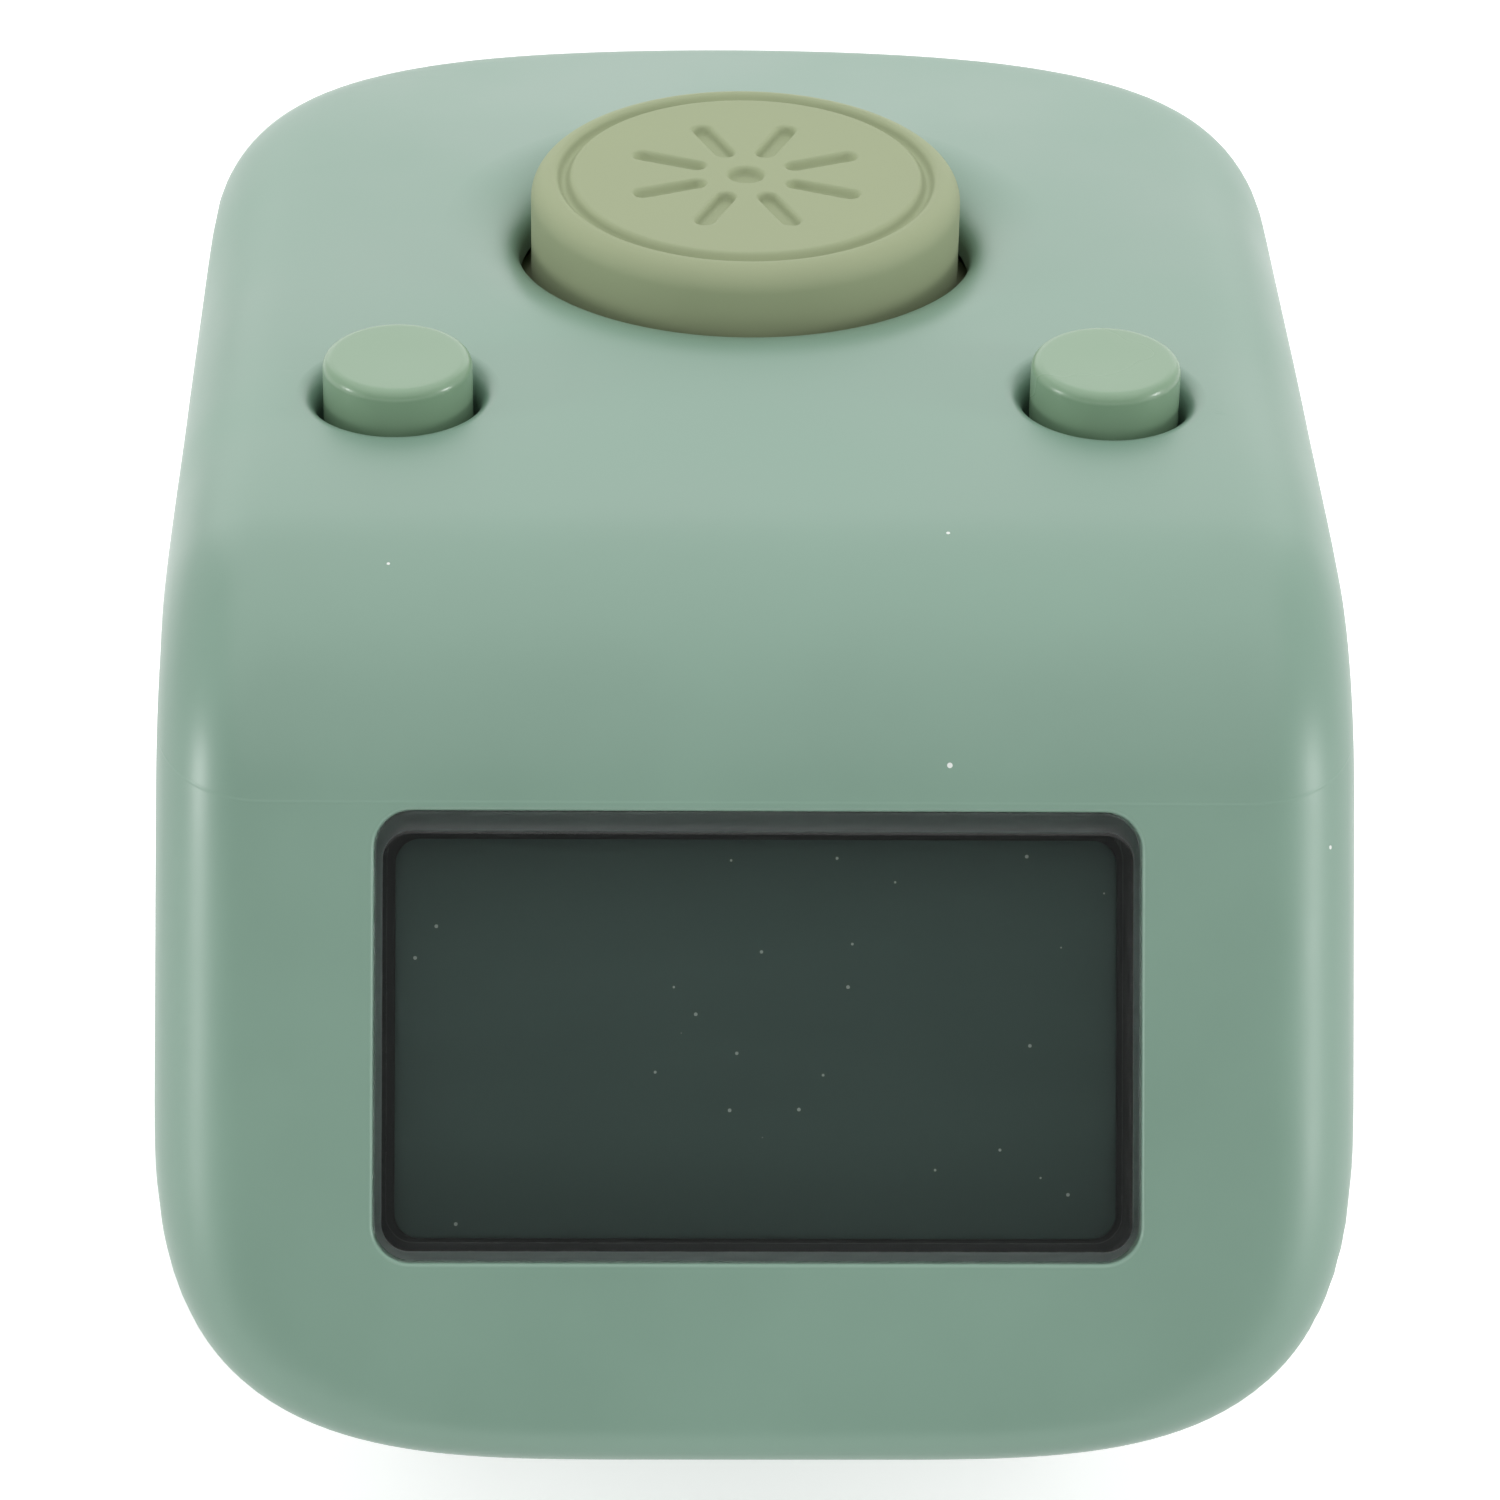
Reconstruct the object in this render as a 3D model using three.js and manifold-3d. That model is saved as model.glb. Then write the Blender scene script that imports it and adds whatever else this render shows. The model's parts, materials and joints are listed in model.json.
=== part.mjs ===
// Digital finger counter: a plastic case with a display in its leaning face, a big count
// button and two small buttons on top, and a silicone band that goes round the finger.
// Millimetres, +X right, +Y to the back, +Z up. The counter stands on its band.
import * as THREE from 'three';
import { mergeVertices } from 'three/addons/utils/BufferGeometryUtils.js';
import Module from 'manifold-3d';

const wasm = await Module();
wasm.setup();

// Case
const bodyWidth = 27;
const bodyRun = 44.3;            // from the foot of the face to the rear wall, at the base
const headroom = 6.9;            // from the main board to the crest of the case
const faceTilt = THREE.MathUtils.degToRad(34);   // how far the face leans back from upright
const topRadius = 141;           // long arc of the top, seen from the side
const crestFromRear = 24.5;
const crownRadius = 250;         // slight crown of the top, seen from the front
const browRadius = 8;            // where the face turns into the top
const edgeRadius = 2.3;          // along the sides of the face and the top
const rearEdgeRadius = 4;
const rearBow = 50;              // radius of the rear wall, seen from above
const cornerWidth = 8.5;         // rear corners from above, lower corners from the front
const cornerDepth = 8.5;
const cornerHeight = 5.55;
const wall = 1.5;
const fit = 0.15;                // between parts that drop into each other
const stackGap = 0.1;            // between layers that lie on each other
const spare = 1;                 // how far a cut runs past the face that it opens
const root = 0.5;                // how far a raised part reaches into the plate that carries it
const screwSides = 10;

// Finger groove along the underside
const grooveRadius = 18;
const grooveDepth = 0.6;

// Bottom cover, its screws and the posts they go into
const coverFromSide = 4.1;
const coverFromFoot = 7.6;
const coverFromRear = 4.6;
const coverCorner = 4;
const coverTop = 2.2;
const postRadius = 1.7;
const postBesideDoor = 1.35;
const rearPostFromRear = 8.5;
const screwRadius = 0.7;
const screwHeadRadius = 1.0;
const screwHeadHeight = 0.8;
const screwHeadChamfer = 0.35;
const screwHeadDepth = 1.0;      // how deep the head sits in the cover
const screwLength = 4.6;
const screwTip = 0.6;            // length of the pointed end
const screwTipRadius = 0.2;
const screwFit = 0.1;
const recessArm = 0.6;           // half the length and half the width of the cross recess
const recessHalfWidth = 0.15;

// Coin cell, its door and contacts
const cellRadius = 5.8;
const cellHeight = 5.4;
const cellChamfer = 0.3;
const cellRim = 1.2;             // width of the sunk rim round the cell's small end
const cellRimDrop = 0.2;
const cellFromRear = 11.9;
const cellFit = 0.25;
const doorBesideSlot = 1.25;     // from the middle of the band's slot
const doorBehindCell = 0.5;
const doorAheadOfCell = 3.9;
const doorCorner = 1.6;
const doorTop = 1.3;
const doorPadInset = 1.4;        // from the edge of the cell
const doorScrewFromFront = 1.9;
const doorScrewLength = 2.6;
const doorScrewHeadHeight = 0.5;
const doorScrewHeadDepth = 0.35; // how deep its seat lies above the crown of the groove
const doorBossHeight = 2.6;
const cradleWall = 0.8;
const cradleHeight = 4;
const cradleWidth = 5.4;
const contactSheet = 0.25;
const contactWidth = 3;
const contactRise = 1.5;         // from the cell to the board above it
const springBack = 3.4;          // how far behind the cell's centre line the leaf spring starts
const springKnee = 1.2;
const springTouch = 1.4;
const springTip = 2.6;
const clipDrop = 3.4;            // how far the side contact reaches down the cell
const clipFoot = 1.4;

// Display window and the stack behind it, measured in the plane of the face
const windowUp = 10.9;           // window centre above the foot of the face
const windowFromSide = 4.87;
const windowHeight = 10.03;
const windowCorner = 0.85;
const lensBevel = 0.3;
const lensRecess = 0.05;
const lensFlange = 0.5;
const lensFlangeThickness = 0.6;
const seatDepth = 0.05;          // how deep the seat of the flange is sunk in the wall
const gasketThickness = 0.3;
const gasketLip = 0.28;          // how far the gasket reaches inside the lens outline
const gasketTopLip = 0.5;
const glassLap = 0.32;           // how far the glass reaches past the sides of the window
const glassHeight = 10.8;
const glassRise = 0.5;           // glass centre above the window centre
const glassThickness = 1.3;
const diffuserThickness = 0.7;
const ledWidth = 0.9;
const ledHeight = 2.2;
const frameWall = 0.7;
const boardThickness = 0.8;
const displayBoardHeight = 9.6;
const displayBoardRise = 0.9;
const chipRadius = 2.6;
const chipHeight = 1.0;
const zebraHeight = 0.9;
const zebraInset = 1.0;          // from the ends of the glass

// Main board
const boardFromSide = 3.2;
const boardFromFoot = 17.9;
const boardFromRear = 6.8;
const boardCorner = 2.5;
const boardPostRadius = 1.5;
const boardPostFromSide = 4.2;
const boardPostBehindSmall = 5.6;
const boardCentrePostFromEdge = 1.9;
const boardScrewLength = 3.4;
const ribbonBesidePost = 0.25;   // on either side, between two posts
const ribbonThickness = 0.15;
const ribbonEndFlat = 1.8;       // how far each end lies flat on its board
const ribbonFromEdge = 0.6;
const ribbonRise = 1.1;          // pull of the bend at the display and at the main board
const ribbonSweep = 1.6;
const crystalRadius = 0.75;
const crystalLength = 4.5;
const smallPartsFromEdge = 2.6;  // row of small parts along the rear edge of the board
const crystalBesidePost = 4.9;
const capacitorX = [1.6, 3.8];
const capacitorSize = [1.6, 0.8, 0.8];

// Buttons: where they stand and how they are made
const countFromRear = 14.6;
const smallFromFoot = 21.1;
const smallFromSide = 5.04;
const countButton = {
  radius: 5.27,
  rise: 1.35,
  rim: 0.5,
  gap: 0.23,                     // round the cap, in its hole
  dish: 1.1,                     // width of the rolled edge of the hole
  flange: 6.1,
  flangeHeight: 0.9,
  stem: 1.7,
  stemLength: 0.3,
  switchSize: 6,
  plungerRadius: 1.7,
  plungerRise: 0.9,
  travel: 0.8,
  sides: 40,
};
const smallButton = {
  radius: 1.76,
  rise: 0.76,
  rim: 0.3,
  gap: 0.16,
  dish: 0.44,
  flange: 2.5,
  flangeHeight: 0.8,
  stem: 1.0,
  stemLength: 1.8,
  switchSize: 3.6,
  plungerRadius: 0.8,
  plungerRise: 0.8,
  travel: 0.6,
  sides: 24,
};
const dishSink = 0.08;           // how far the rolled edge starts below the case top
const ringGrooveRadius = 4.58;
const ringGrooveWidth = 0.36;
const markDepth = 0.22;
const markStrokes = 8;
const markInner = 1.15;
const markOuter = 3.0;
const markStrokeWidth = 0.42;
const switchFit = 0.15;
const switchFloor = 0.4;         // under the plunger's bore
const plungerSpare = 0.1;        // left under the plunger when the button is fully pressed
const plungerGap = 0.02;         // between the plunger and the stem that presses it

// Finger band
const bandWidth = 11;
const bandThickness = 1.6;
const bandSlotFromEdge = 1.7;    // from the edge of the bottom cover
const bandDrop = 13.5;           // from the underside of the case to the floor
const bandBulge = 10;            // greatest half width of the loop's middle line
const bandWaist = 6.1;           // how far down the loop is widest
const bandFlat = 5.4;            // half length of the flat bottom
const bandHeadWidth = 3;
const bandHeadHeight = 1.1;

// Places that follow from the sizes above
const sideX = bodyWidth / 2;
const rearY = bodyRun / 2;
const footY = -bodyRun / 2;
const crestY = rearY - crestFromRear;
const countY = rearY - countFromRear;
const smallX = sideX - smallFromSide;
const smallY = footY + smallFromFoot;
const cellY = rearY - cellFromRear;
const coverHalfWidth = sideX - coverFromSide;
const bandSlotX = coverHalfWidth - bandSlotFromEdge;
const doorHalfWidth = bandSlotX - doorBesideSlot;
const postX = doorHalfWidth + postBesideDoor;
const ribbonWidth = postX - postRadius - boardPostRadius - 2 * ribbonBesidePost;
const ribbonX = -boardPostRadius - ribbonBesidePost - ribbonWidth / 2;
const crystalX = crystalBesidePost - postX;
const cellBottom = coverTop + 2 * fit;
const cellTop = cellBottom + cellHeight;
const boardBottom = cellTop + contactRise;
const boardTop = boardBottom + boardThickness;
const boardHalfWidth = sideX - boardFromSide;
const boardFront = footY + boardFromFoot;
const boardRear = rearY - boardFromRear;
const boardPostX = sideX - boardPostFromSide;
const smallPartsY = boardRear - smallPartsFromEdge;
const rearPostY = rearY - rearPostFromRear;
const frontPostY = boardFront - postRadius - fit;
const bandY = (frontPostY + rearPostY) / 2;
const bodyHeight = boardTop + headroom;
const windowWidth = bodyWidth - 2 * windowFromSide;
const glassWidth = windowWidth + 2 * glassLap;
const posts = [[-postX, frontPostY], [postX, frontPostY], [-postX, rearPostY], [postX, rearPostY]];
const boardPosts = [
  [0, boardFront + boardCentrePostFromEdge],
  [-boardPostX, smallY + boardPostBehindSmall],
  [boardPostX, smallY + boardPostBehindSmall],
];

// Materials
function paint(color, roughness, metalness = 0) {
  return new THREE.MeshStandardMaterial({ color, roughness, metalness });
}

const caseGreen = () => paint(0x8fb3a2, 0.45);
const coverGreen = () => paint(0x88ac9b, 0.5);
const buttonKhaki = () => paint(0xabb394, 0.75);
const buttonGreen = () => paint(0x8bb598, 0.3);
const clearPlastic = () => {
  const material = paint(0xdfe9ea, 0.05);
  material.transparent = true;
  material.opacity = 0.35;
  return material;
};
const displayDark = () => paint(0x37463f, 0.15);
const blackFoam = () => paint(0x202422, 0.9);
const whitePlastic = () => paint(0xe6e6e0, 0.5);
const blackPlastic = () => paint(0x26292a, 0.5);
const boardGreen = () => paint(0x1f6b45, 0.5);
const steel = () => paint(0xb9bdc0, 0.3, 1);
const goldPlate = () => paint(0xc9a55a, 0.3, 1);
const epoxy = () => paint(0x16181a, 0.35);
const amberFilm = () => paint(0xb5722c, 0.4);
const capacitorBrown = () => paint(0x9a7b55, 0.6);
const bandSilicone = () => paint(0x9fb5a3, 0.8);
const zebraRubber = () => paint(0xd2b3ba, 0.8);

// A closed geometry as a solid, and a solid as a geometry
function toSolid(geometry) {
  const bare = geometry.clone();
  bare.deleteAttribute('normal');
  bare.deleteAttribute('uv');
  const merged = mergeVertices(bare, 1e-5);
  return new wasm.Manifold(new wasm.Mesh({
    numProp: 3,
    vertProperties: new Float32Array(merged.attributes.position.array),
    triVerts: new Uint32Array(merged.index.array),
  }));
}

function toGeometry(solid) {
  const mesh = solid.getMesh();
  const geometry = new THREE.BufferGeometry();
  geometry.setAttribute('position', new THREE.BufferAttribute(new Float32Array(mesh.vertProperties), 3));
  geometry.setIndex(new THREE.BufferAttribute(new Uint32Array(mesh.triVerts), 1));
  geometry.computeVertexNormals();
  return geometry;
}

const joined = (...solids) => solids.reduce((sum, solid) => sum.add(solid));
const without = (base, ...cutters) => cutters.reduce((rest, cutter) => rest.subtract(cutter), base);

// Boxes, cylinders and prisms given by their low and high ends
function box(x0, x1, y0, y1, z0, z1) {
  const geometry = new THREE.BoxGeometry(x1 - x0, y1 - y0, z1 - z0);
  return toSolid(geometry.translate((x0 + x1) / 2, (y0 + y1) / 2, (z0 + z1) / 2));
}

function cylinder(x, y, z0, z1, radius, sides = 20) {
  const geometry = new THREE.CylinderGeometry(radius, radius, z1 - z0, sides);
  return toSolid(geometry.rotateX(Math.PI / 2).translate(x, y, (z0 + z1) / 2));
}

// A turned solid: profile points are [radius, height], and the profile starts and ends on the axis
function turned(profile, sides) {
  const points = profile.map(([radius, height]) => new THREE.Vector2(radius, height));
  return new THREE.LatheGeometry(points, sides).rotateX(Math.PI / 2);
}

function roundedRect(x0, x1, y0, y1, radius) {
  const shape = new THREE.Shape();
  shape.moveTo(x0 + radius, y0);
  shape.lineTo(x1 - radius, y0);
  shape.absarc(x1 - radius, y0 + radius, radius, -Math.PI / 2, 0);
  shape.lineTo(x1, y1 - radius);
  shape.absarc(x1 - radius, y1 - radius, radius, 0, Math.PI / 2);
  shape.lineTo(x0 + radius, y1);
  shape.absarc(x0 + radius, y1 - radius, radius, Math.PI / 2, Math.PI);
  shape.lineTo(x0, y0 + radius);
  shape.absarc(x0 + radius, y0 + radius, radius, Math.PI, 1.5 * Math.PI);
  return shape;
}

function prism(shape, z0, z1, curveSegments = 5) {
  const options = { depth: z1 - z0, bevelEnabled: false, curveSegments };
  return toSolid(new THREE.ExtrudeGeometry(shape, options).translate(0, 0, z0));
}

// The case as a field that is negative inside. Two outlines share it: the side profile (leaning
// face, brow and long top arc) and a girth with rounded rear and lower corners. They meet in a
// rounded edge. inset moves every wall inwards by the same distance.
const sine = Math.sin(faceTilt);
const cosine = Math.cos(faceTilt);
const arcZ = bodyHeight - topRadius;

function smoothStep(t) {
  const s = Math.min(Math.max(t, 0), 1);
  return s * s * (3 - 2 * s);
}

// Centre of the brow's arc: browRadius behind the face and as far below the top arc
function browCentre() {
  const start = [footY + browRadius * cosine, -browRadius * sine];
  const dy = start[0] - crestY;
  const dz = start[1] - arcZ;
  const half = dy * sine + dz * cosine;
  const reach = topRadius - browRadius;
  const along = -half + Math.sqrt(half * half - (dy * dy + dz * dz - reach * reach));
  return [start[0] + along * sine, start[1] + along * cosine];
}

const brow = browCentre();
const browTop = [(brow[0] - crestY) / (topRadius - browRadius), (brow[1] - arcZ) / (topRadius - browRadius)];

// The crown fades out towards the brow, so the face stays flat
function crownDrop(x, y) {
  const fade = smoothStep((y - brow[0]) / browRadius);
  return fade * x * x / (2 * crownRadius);
}

function caseField(x, y, z, inset) {
  const lifted = z + crownDrop(x, y);
  const face = -cosine * (y - footY) + sine * lifted + inset;
  const top = Math.hypot(y - crestY, lifted - arcZ) - topRadius + inset;
  const vy = y - brow[0];
  const vz = lifted - brow[1];
  const inBrow = vy * sine + vz * cosine > 0 && -vy * browTop[1] + vz * browTop[0] > 0;
  const profile = inBrow ? Math.hypot(vy, vz) - browRadius + inset : Math.max(face, top);
  const rx = cornerWidth - inset;
  const bowed = y + x * x / (2 * rearBow);
  const qx = Math.max(Math.abs(x) - (bodyWidth / 2 - cornerWidth), 0) / rx;
  const qy = Math.max(bowed - (rearY - cornerDepth), 0) / (cornerDepth - inset);
  const qz = Math.max(cornerHeight - z, 0) / (cornerHeight - inset);
  const girth = (Math.hypot(qx, qy, qz) - 1) * rx;
  const rear = smoothStep((y - (rearY - 2 * cornerDepth)) / cornerDepth);
  const edge = Math.max(edgeRadius + (rearEdgeRadius - edgeRadius) * rear - inset, 0.5);
  const a = profile + edge;
  const b = girth + edge;
  return Math.min(Math.max(a, b), 0) + Math.hypot(Math.max(a, 0), Math.max(b, 0)) - edge;
}

// How far a ray runs from inside the case to its surface, by halving
function rayLength(origin, direction, inset) {
  let near = 0;
  let far = bodyRun;
  for (let i = 0; i < 40; i += 1) {
    const t = (near + far) / 2;
    const value = caseField(
      origin[0] + t * direction[0], origin[1] + t * direction[1], origin[2] + t * direction[2], inset);
    if (value < 0) near = t;
    else far = t;
  }
  return near;
}

const heart = [0, bodyHeight * 0.45];   // Y and Z of the line that the rays start from

// Points of the side profile seen from the heart, closer together where the outline bends
function profilePoints(count, inset) {
  const samples = 360;
  const points = [];
  for (let i = 0; i < samples; i += 1) {
    const angle = (2 * Math.PI * i) / samples;
    const direction = [0, Math.cos(angle), Math.sin(angle)];
    const length = rayLength([0, ...heart], direction, inset);
    points.push(new THREE.Vector2(direction[1], direction[2]).multiplyScalar(length));
  }
  const bendWeight = 7;
  const steps = [0];
  for (let i = 0; i < samples; i += 1) {
    const before = points[(i + samples - 1) % samples];
    const here = points[i];
    const after = points[(i + 1) % samples];
    const first = here.clone().sub(before);
    const next = after.clone().sub(here);
    const turn = Math.abs(Math.atan2(first.cross(next), first.dot(next)));
    steps.push(steps[i] + next.length() + bendWeight * turn);
  }
  const chosen = [];
  for (let k = 0; k < count; k += 1) {
    const target = (steps[samples] * k) / count;
    let i = 0;
    while (steps[i + 1] < target) i += 1;
    const share = (target - steps[i]) / (steps[i + 1] - steps[i]);
    chosen.push(points[i].clone().lerp(points[(i + 1) % samples], share));
  }
  return chosen;
}

// Two triangles for the corners of a quad, split along the diagonal that stands further out
function splitQuad(vertices, corners) {
  const [a, b, c, d] = corners.map((i) => new THREE.Vector3().fromArray(vertices, 3 * i));
  const outwards = c.clone().sub(a).cross(d.clone().sub(b));
  const rise = a.clone().add(c).sub(b).sub(d).dot(outwards);
  const [i, j, k, l] = corners;
  return rise >= 0 ? [i, j, k, i, k, l] : [i, j, l, j, k, l];
}

// The case surface as one closed mesh. Rays leave a line through the heart of the case: across its
// middle they point at the side profile, and past its ends they lean over to the side walls,
// closer together about the edge between top and side.
function caseSolid(inset, count, columns, fans) {
  const spokes = profilePoints(count, inset);
  const reach = columns[columns.length - 1];
  const leans = [];
  for (let k = 1; k <= fans; k += 1) {
    const u = (2 * k) / (fans + 1) - 1;
    leans.push((Math.PI / 4) * (1 + Math.sign(u) * Math.abs(u) ** 1.3));
  }
  const rings = [
    ...[...leans].reverse().map((lean) => [-reach, -lean]),
    ...[...columns].reverse().map((x) => [-x, 0]),
    ...columns.slice(1).map((x) => [x, 0]),
    ...leans.map((lean) => [reach, lean])];
  const sideReach = bodyWidth / 2 - inset - reach;
  const vertices = [];
  const place = (x, lean, spoke) => {
    const direction = new THREE.Vector3(
      sideReach * Math.sin(lean), Math.cos(lean) * spoke.x, Math.cos(lean) * spoke.y).normalize();
    const length = rayLength([x, ...heart], direction.toArray(), inset);
    vertices.push(x + length * direction.x, heart[0] + length * direction.y, heart[1] + length * direction.z);
  };
  for (const [x, lean] of rings) {
    for (const spoke of spokes) place(x, lean, spoke);
  }
  const leftPole = vertices.length / 3;
  place(-reach, -Math.PI / 2, spokes[0]);
  place(reach, Math.PI / 2, spokes[0]);
  const triangles = [];
  for (let k = 0; k < count; k += 1) {
    const next = (k + 1) % count;
    for (let j = 0; j < rings.length - 1; j += 1) {
      const a = j * count;
      const b = (j + 1) * count;
      triangles.push(...splitQuad(vertices, [a + k, a + next, b + next, b + k]));
    }
    const last = (rings.length - 1) * count;
    triangles.push(leftPole, next, k, leftPole + 1, last + k, last + next);
  }
  const geometry = new THREE.BufferGeometry();
  geometry.setAttribute('position', new THREE.BufferAttribute(new Float32Array(vertices), 3));
  geometry.setIndex(triangles);
  return toSolid(geometry);
}

const fanDepth = 4.5;            // how far in from the side wall the leaning rays start
const halfFlat = sideX - cornerWidth;
const innerColumns = [0, halfFlat, sideX - fanDepth];
const outerColumns = [0, 0.6 * halfFlat, halfFlat, (halfFlat + sideX - fanDepth) / 2, sideX - fanDepth];
const innerCase = (inset) => caseSolid(inset, 36, innerColumns, 5);
const outerCase = caseSolid(0, 44, outerColumns, 6);
const cavity = innerCase(wall);

// Height of the case's top above a point, outside or inside the wall
function topHeight(x, y, inset) {
  return heart[1] + rayLength([x, y, heart[1]], [0, 0, 1], inset);
}

// Everything in the plane of the face is drawn with its origin at the window's centre,
// its local +Y up the face and its local +Z straight out of it
const facePlace = new THREE.Matrix4()
  .makeTranslation(0, footY + windowUp * sine, windowUp * cosine)
  .multiply(new THREE.Matrix4().makeRotationX(Math.PI / 2 - faceTilt));

function inFace(solid) {
  return toSolid(toGeometry(solid).applyMatrix4(facePlace));
}

function coverOutline(gap) {
  return roundedRect(
    -coverHalfWidth + gap, coverHalfWidth - gap,
    footY + coverFromFoot + gap, rearY - coverFromRear - gap, coverCorner - gap);
}

const doorFront = cellY - cellRadius - doorAheadOfCell;
const doorRear = cellY + cellRadius + doorBehindCell;
const doorScrewY = doorFront + doorScrewFromFront;

function doorOutline(gap) {
  const half = doorHalfWidth - gap;
  return roundedRect(-half, half, doorFront + gap, doorRear - gap, doorCorner);
}

function groove() {
  const geometry = new THREE.CylinderGeometry(grooveRadius, grooveRadius, 2 * bodyRun, 120);
  return toSolid(geometry.translate(0, 0, grooveDepth - grooveRadius));
}

// Hole for a button: straight through the wall, with an edge that rolls into the case top
function buttonHole(x, y, button) {
  const holeRadius = button.radius + button.gap;
  const dishRadius = holeRadius + button.dish;
  const steps = 4;
  const profile = [[0, -3 * wall], [holeRadius, -3 * wall]];
  for (let i = 0; i <= steps; i += 1) {
    const turn = (Math.PI / 2) * (i / steps);
    profile.push([dishRadius - button.dish * Math.cos(turn), button.dish * (Math.sin(turn) - 1)]);
  }
  profile.push([dishRadius, button.dish], [0, button.dish]);
  const geometry = turned(profile, button.sides);
  geometry.applyMatrix4(fallRearwards(topSlope(y))).translate(x, y, topHeight(x, y, 0) - dishSink);
  return toSolid(geometry);
}

// Fall of the case top towards the rear at a button, and the shear that gives a shape this fall
const topSlope = (y) => (y - crestY) / topRadius;
const fallRearwards = (slope) => new THREE.Matrix4().set(1, 0, 0, 0, 0, 1, 0, 0, 0, -slope, 1, 0, 0, 0, 0, 1);

// The outline of the lens flange and what seats it, wider by a gap
function flangeOutline(gap) {
  const halfWidth = lensHalf[0] + lensFlange + gap;
  const halfHeight = lensHalf[1] + lensFlange + gap;
  return roundedRect(-halfWidth, halfWidth, -halfHeight, halfHeight, windowCorner);
}

const pilot = (x, y, z0, z1) => cylinder(x, y, z0, z1, screwRadius + screwFit, screwSides);

function upperCase() {
  const pillars = joined(
    ...posts.map(([x, y]) => cylinder(x, y, coverTop, bodyHeight, postRadius)),
    ...boardPosts.map(([x, y]) => cylinder(x, y, boardTop, bodyHeight, boardPostRadius)));
  const shell = outerCase.subtract(cavity.subtract(pillars));
  const windowHole = inFace(prism(
    roundedRect(-windowWidth / 2, windowWidth / 2, -windowHeight / 2, windowHeight / 2, windowCorner),
    -2 * wall, wall));
  const lensSeat = inFace(prism(flangeOutline(fit), -gasketBack, -wall + seatDepth));
  const pilots = joined(
    ...posts.map(([x, y]) => pilot(x, y, 0, coverTop + screwLength + spare)),
    ...boardPosts.map(([x, y]) => pilot(x, y, boardTop - spare, boardTop + boardScrewLength)));
  return without(
    shell, windowHole, lensSeat, pilots,
    prism(coverOutline(0), -spare, coverTop + bandHeadHeight + fit),
    buttonHole(0, countY, countButton),
    buttonHole(-smallX, smallY, smallButton),
    buttonHole(smallX, smallY, smallButton));
}

function screwHole(x, y, seat) {
  return joined(
    cylinder(x, y, -spare, seat, screwHeadRadius + fit),
    pilot(x, y, seat - root, coverTop + spare));
}

// Height of the underside above the base plane
function undersideHeight(x, y) {
  const drop = heart[1];
  return drop - rayLength([x, y, drop], [0, 0, -1], 0);
}

// Two low arcs that hold the cell from the front and from the rear
function cradle() {
  const inner = cellRadius + cellFit;
  const top = coverTop + cradleHeight;
  const ring = cylinder(0, cellY, coverTop - root, top, inner + cradleWall, 40)
    .subtract(cylinder(0, cellY, -spare, top + spare, inner, 40));
  const half = cradleWidth / 2;
  return ring.intersect(box(-half, half, cellY - 2 * cellRadius, cellY + 2 * cellRadius, 0, bodyHeight));
}

function bandSlot(side) {
  const half = bandThickness / 2 + fit;
  const x = side * bandSlotX;
  const along = bandWidth / 2 + fit;
  return box(x - half, x + half, bandY - along, bandY + along, -spare, coverTop + spare);
}

function lowerCase() {
  const plate = prism(coverOutline(fit), -spare, coverTop).intersect(outerCase);
  const screwSeats = posts.map(([x, y]) => screwHole(x, y, undersideHeight(x, y) + screwHeadDepth));
  const doorBoss = cylinder(0, doorScrewY, coverTop - root, coverTop + doorBossHeight, postRadius);
  return without(
    joined(plate, cradle(), doorBoss), groove(), bandSlot(-1), bandSlot(1), ...screwSeats,
    prism(doorOutline(0), -spare, doorTop),
    cylinder(0, cellY, -spare, coverTop + spare, cellRadius + cellFit, 40),
    pilot(0, doorScrewY, 0, doorSeat + doorScrewLength + stackGap));
}

const doorSeat = grooveDepth + doorScrewHeadDepth;

function batteryDoor() {
  const plate = prism(doorOutline(fit), -spare, doorTop).intersect(outerCase);
  const pad = cylinder(0, cellY, doorTop - root, coverTop, cellRadius - doorPadInset, 32);
  return without(
    joined(plate, pad), groove(),
    cylinder(0, doorScrewY, -spare, doorSeat, screwHeadRadius + fit),
    pilot(0, doorScrewY, 0, coverTop));
}

// Pan head screw with a cross recess, head down, its seat at height z
function screw(x, y, z, length, headHeight) {
  const head = turned([
    [0, -headHeight], [screwHeadRadius - screwHeadChamfer, -headHeight],
    [screwHeadRadius, -headHeight + screwHeadChamfer], [screwHeadRadius, 0], [0, 0]], 16);
  const neck = -screwFit;
  const shank = turned([
    [0, neck], [screwRadius, neck], [screwRadius, length - screwTip], [screwTipRadius, length],
    [0, length]], 8);
  const low = -headHeight - spare;
  const high = -headHeight / 2;
  return without(
    joined(toSolid(head), toSolid(shank)),
    box(-recessArm, recessArm, -recessHalfWidth, recessHalfWidth, low, high),
    box(-recessHalfWidth, recessHalfWidth, -recessArm, recessArm, low, high)).translate(x, y, z);
}

// Depths behind the face of each layer of the display
const lensBack = wall + stackGap;
const flangeBack = lensBack + lensFlangeThickness;
const gasketFront = flangeBack + stackGap;
const gasketBack = gasketFront + gasketThickness;
const glassFront = gasketBack + stackGap;
const glassBack = glassFront + glassThickness;
const diffuserFront = glassBack + stackGap;
const diffuserBack = diffuserFront + diffuserThickness;
const displayBoardFront = diffuserBack + 2 * stackGap;
const displayBoardBack = displayBoardFront + boardThickness;
const lensHalf = [windowWidth / 2 - fit, windowHeight / 2 - fit];

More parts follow.
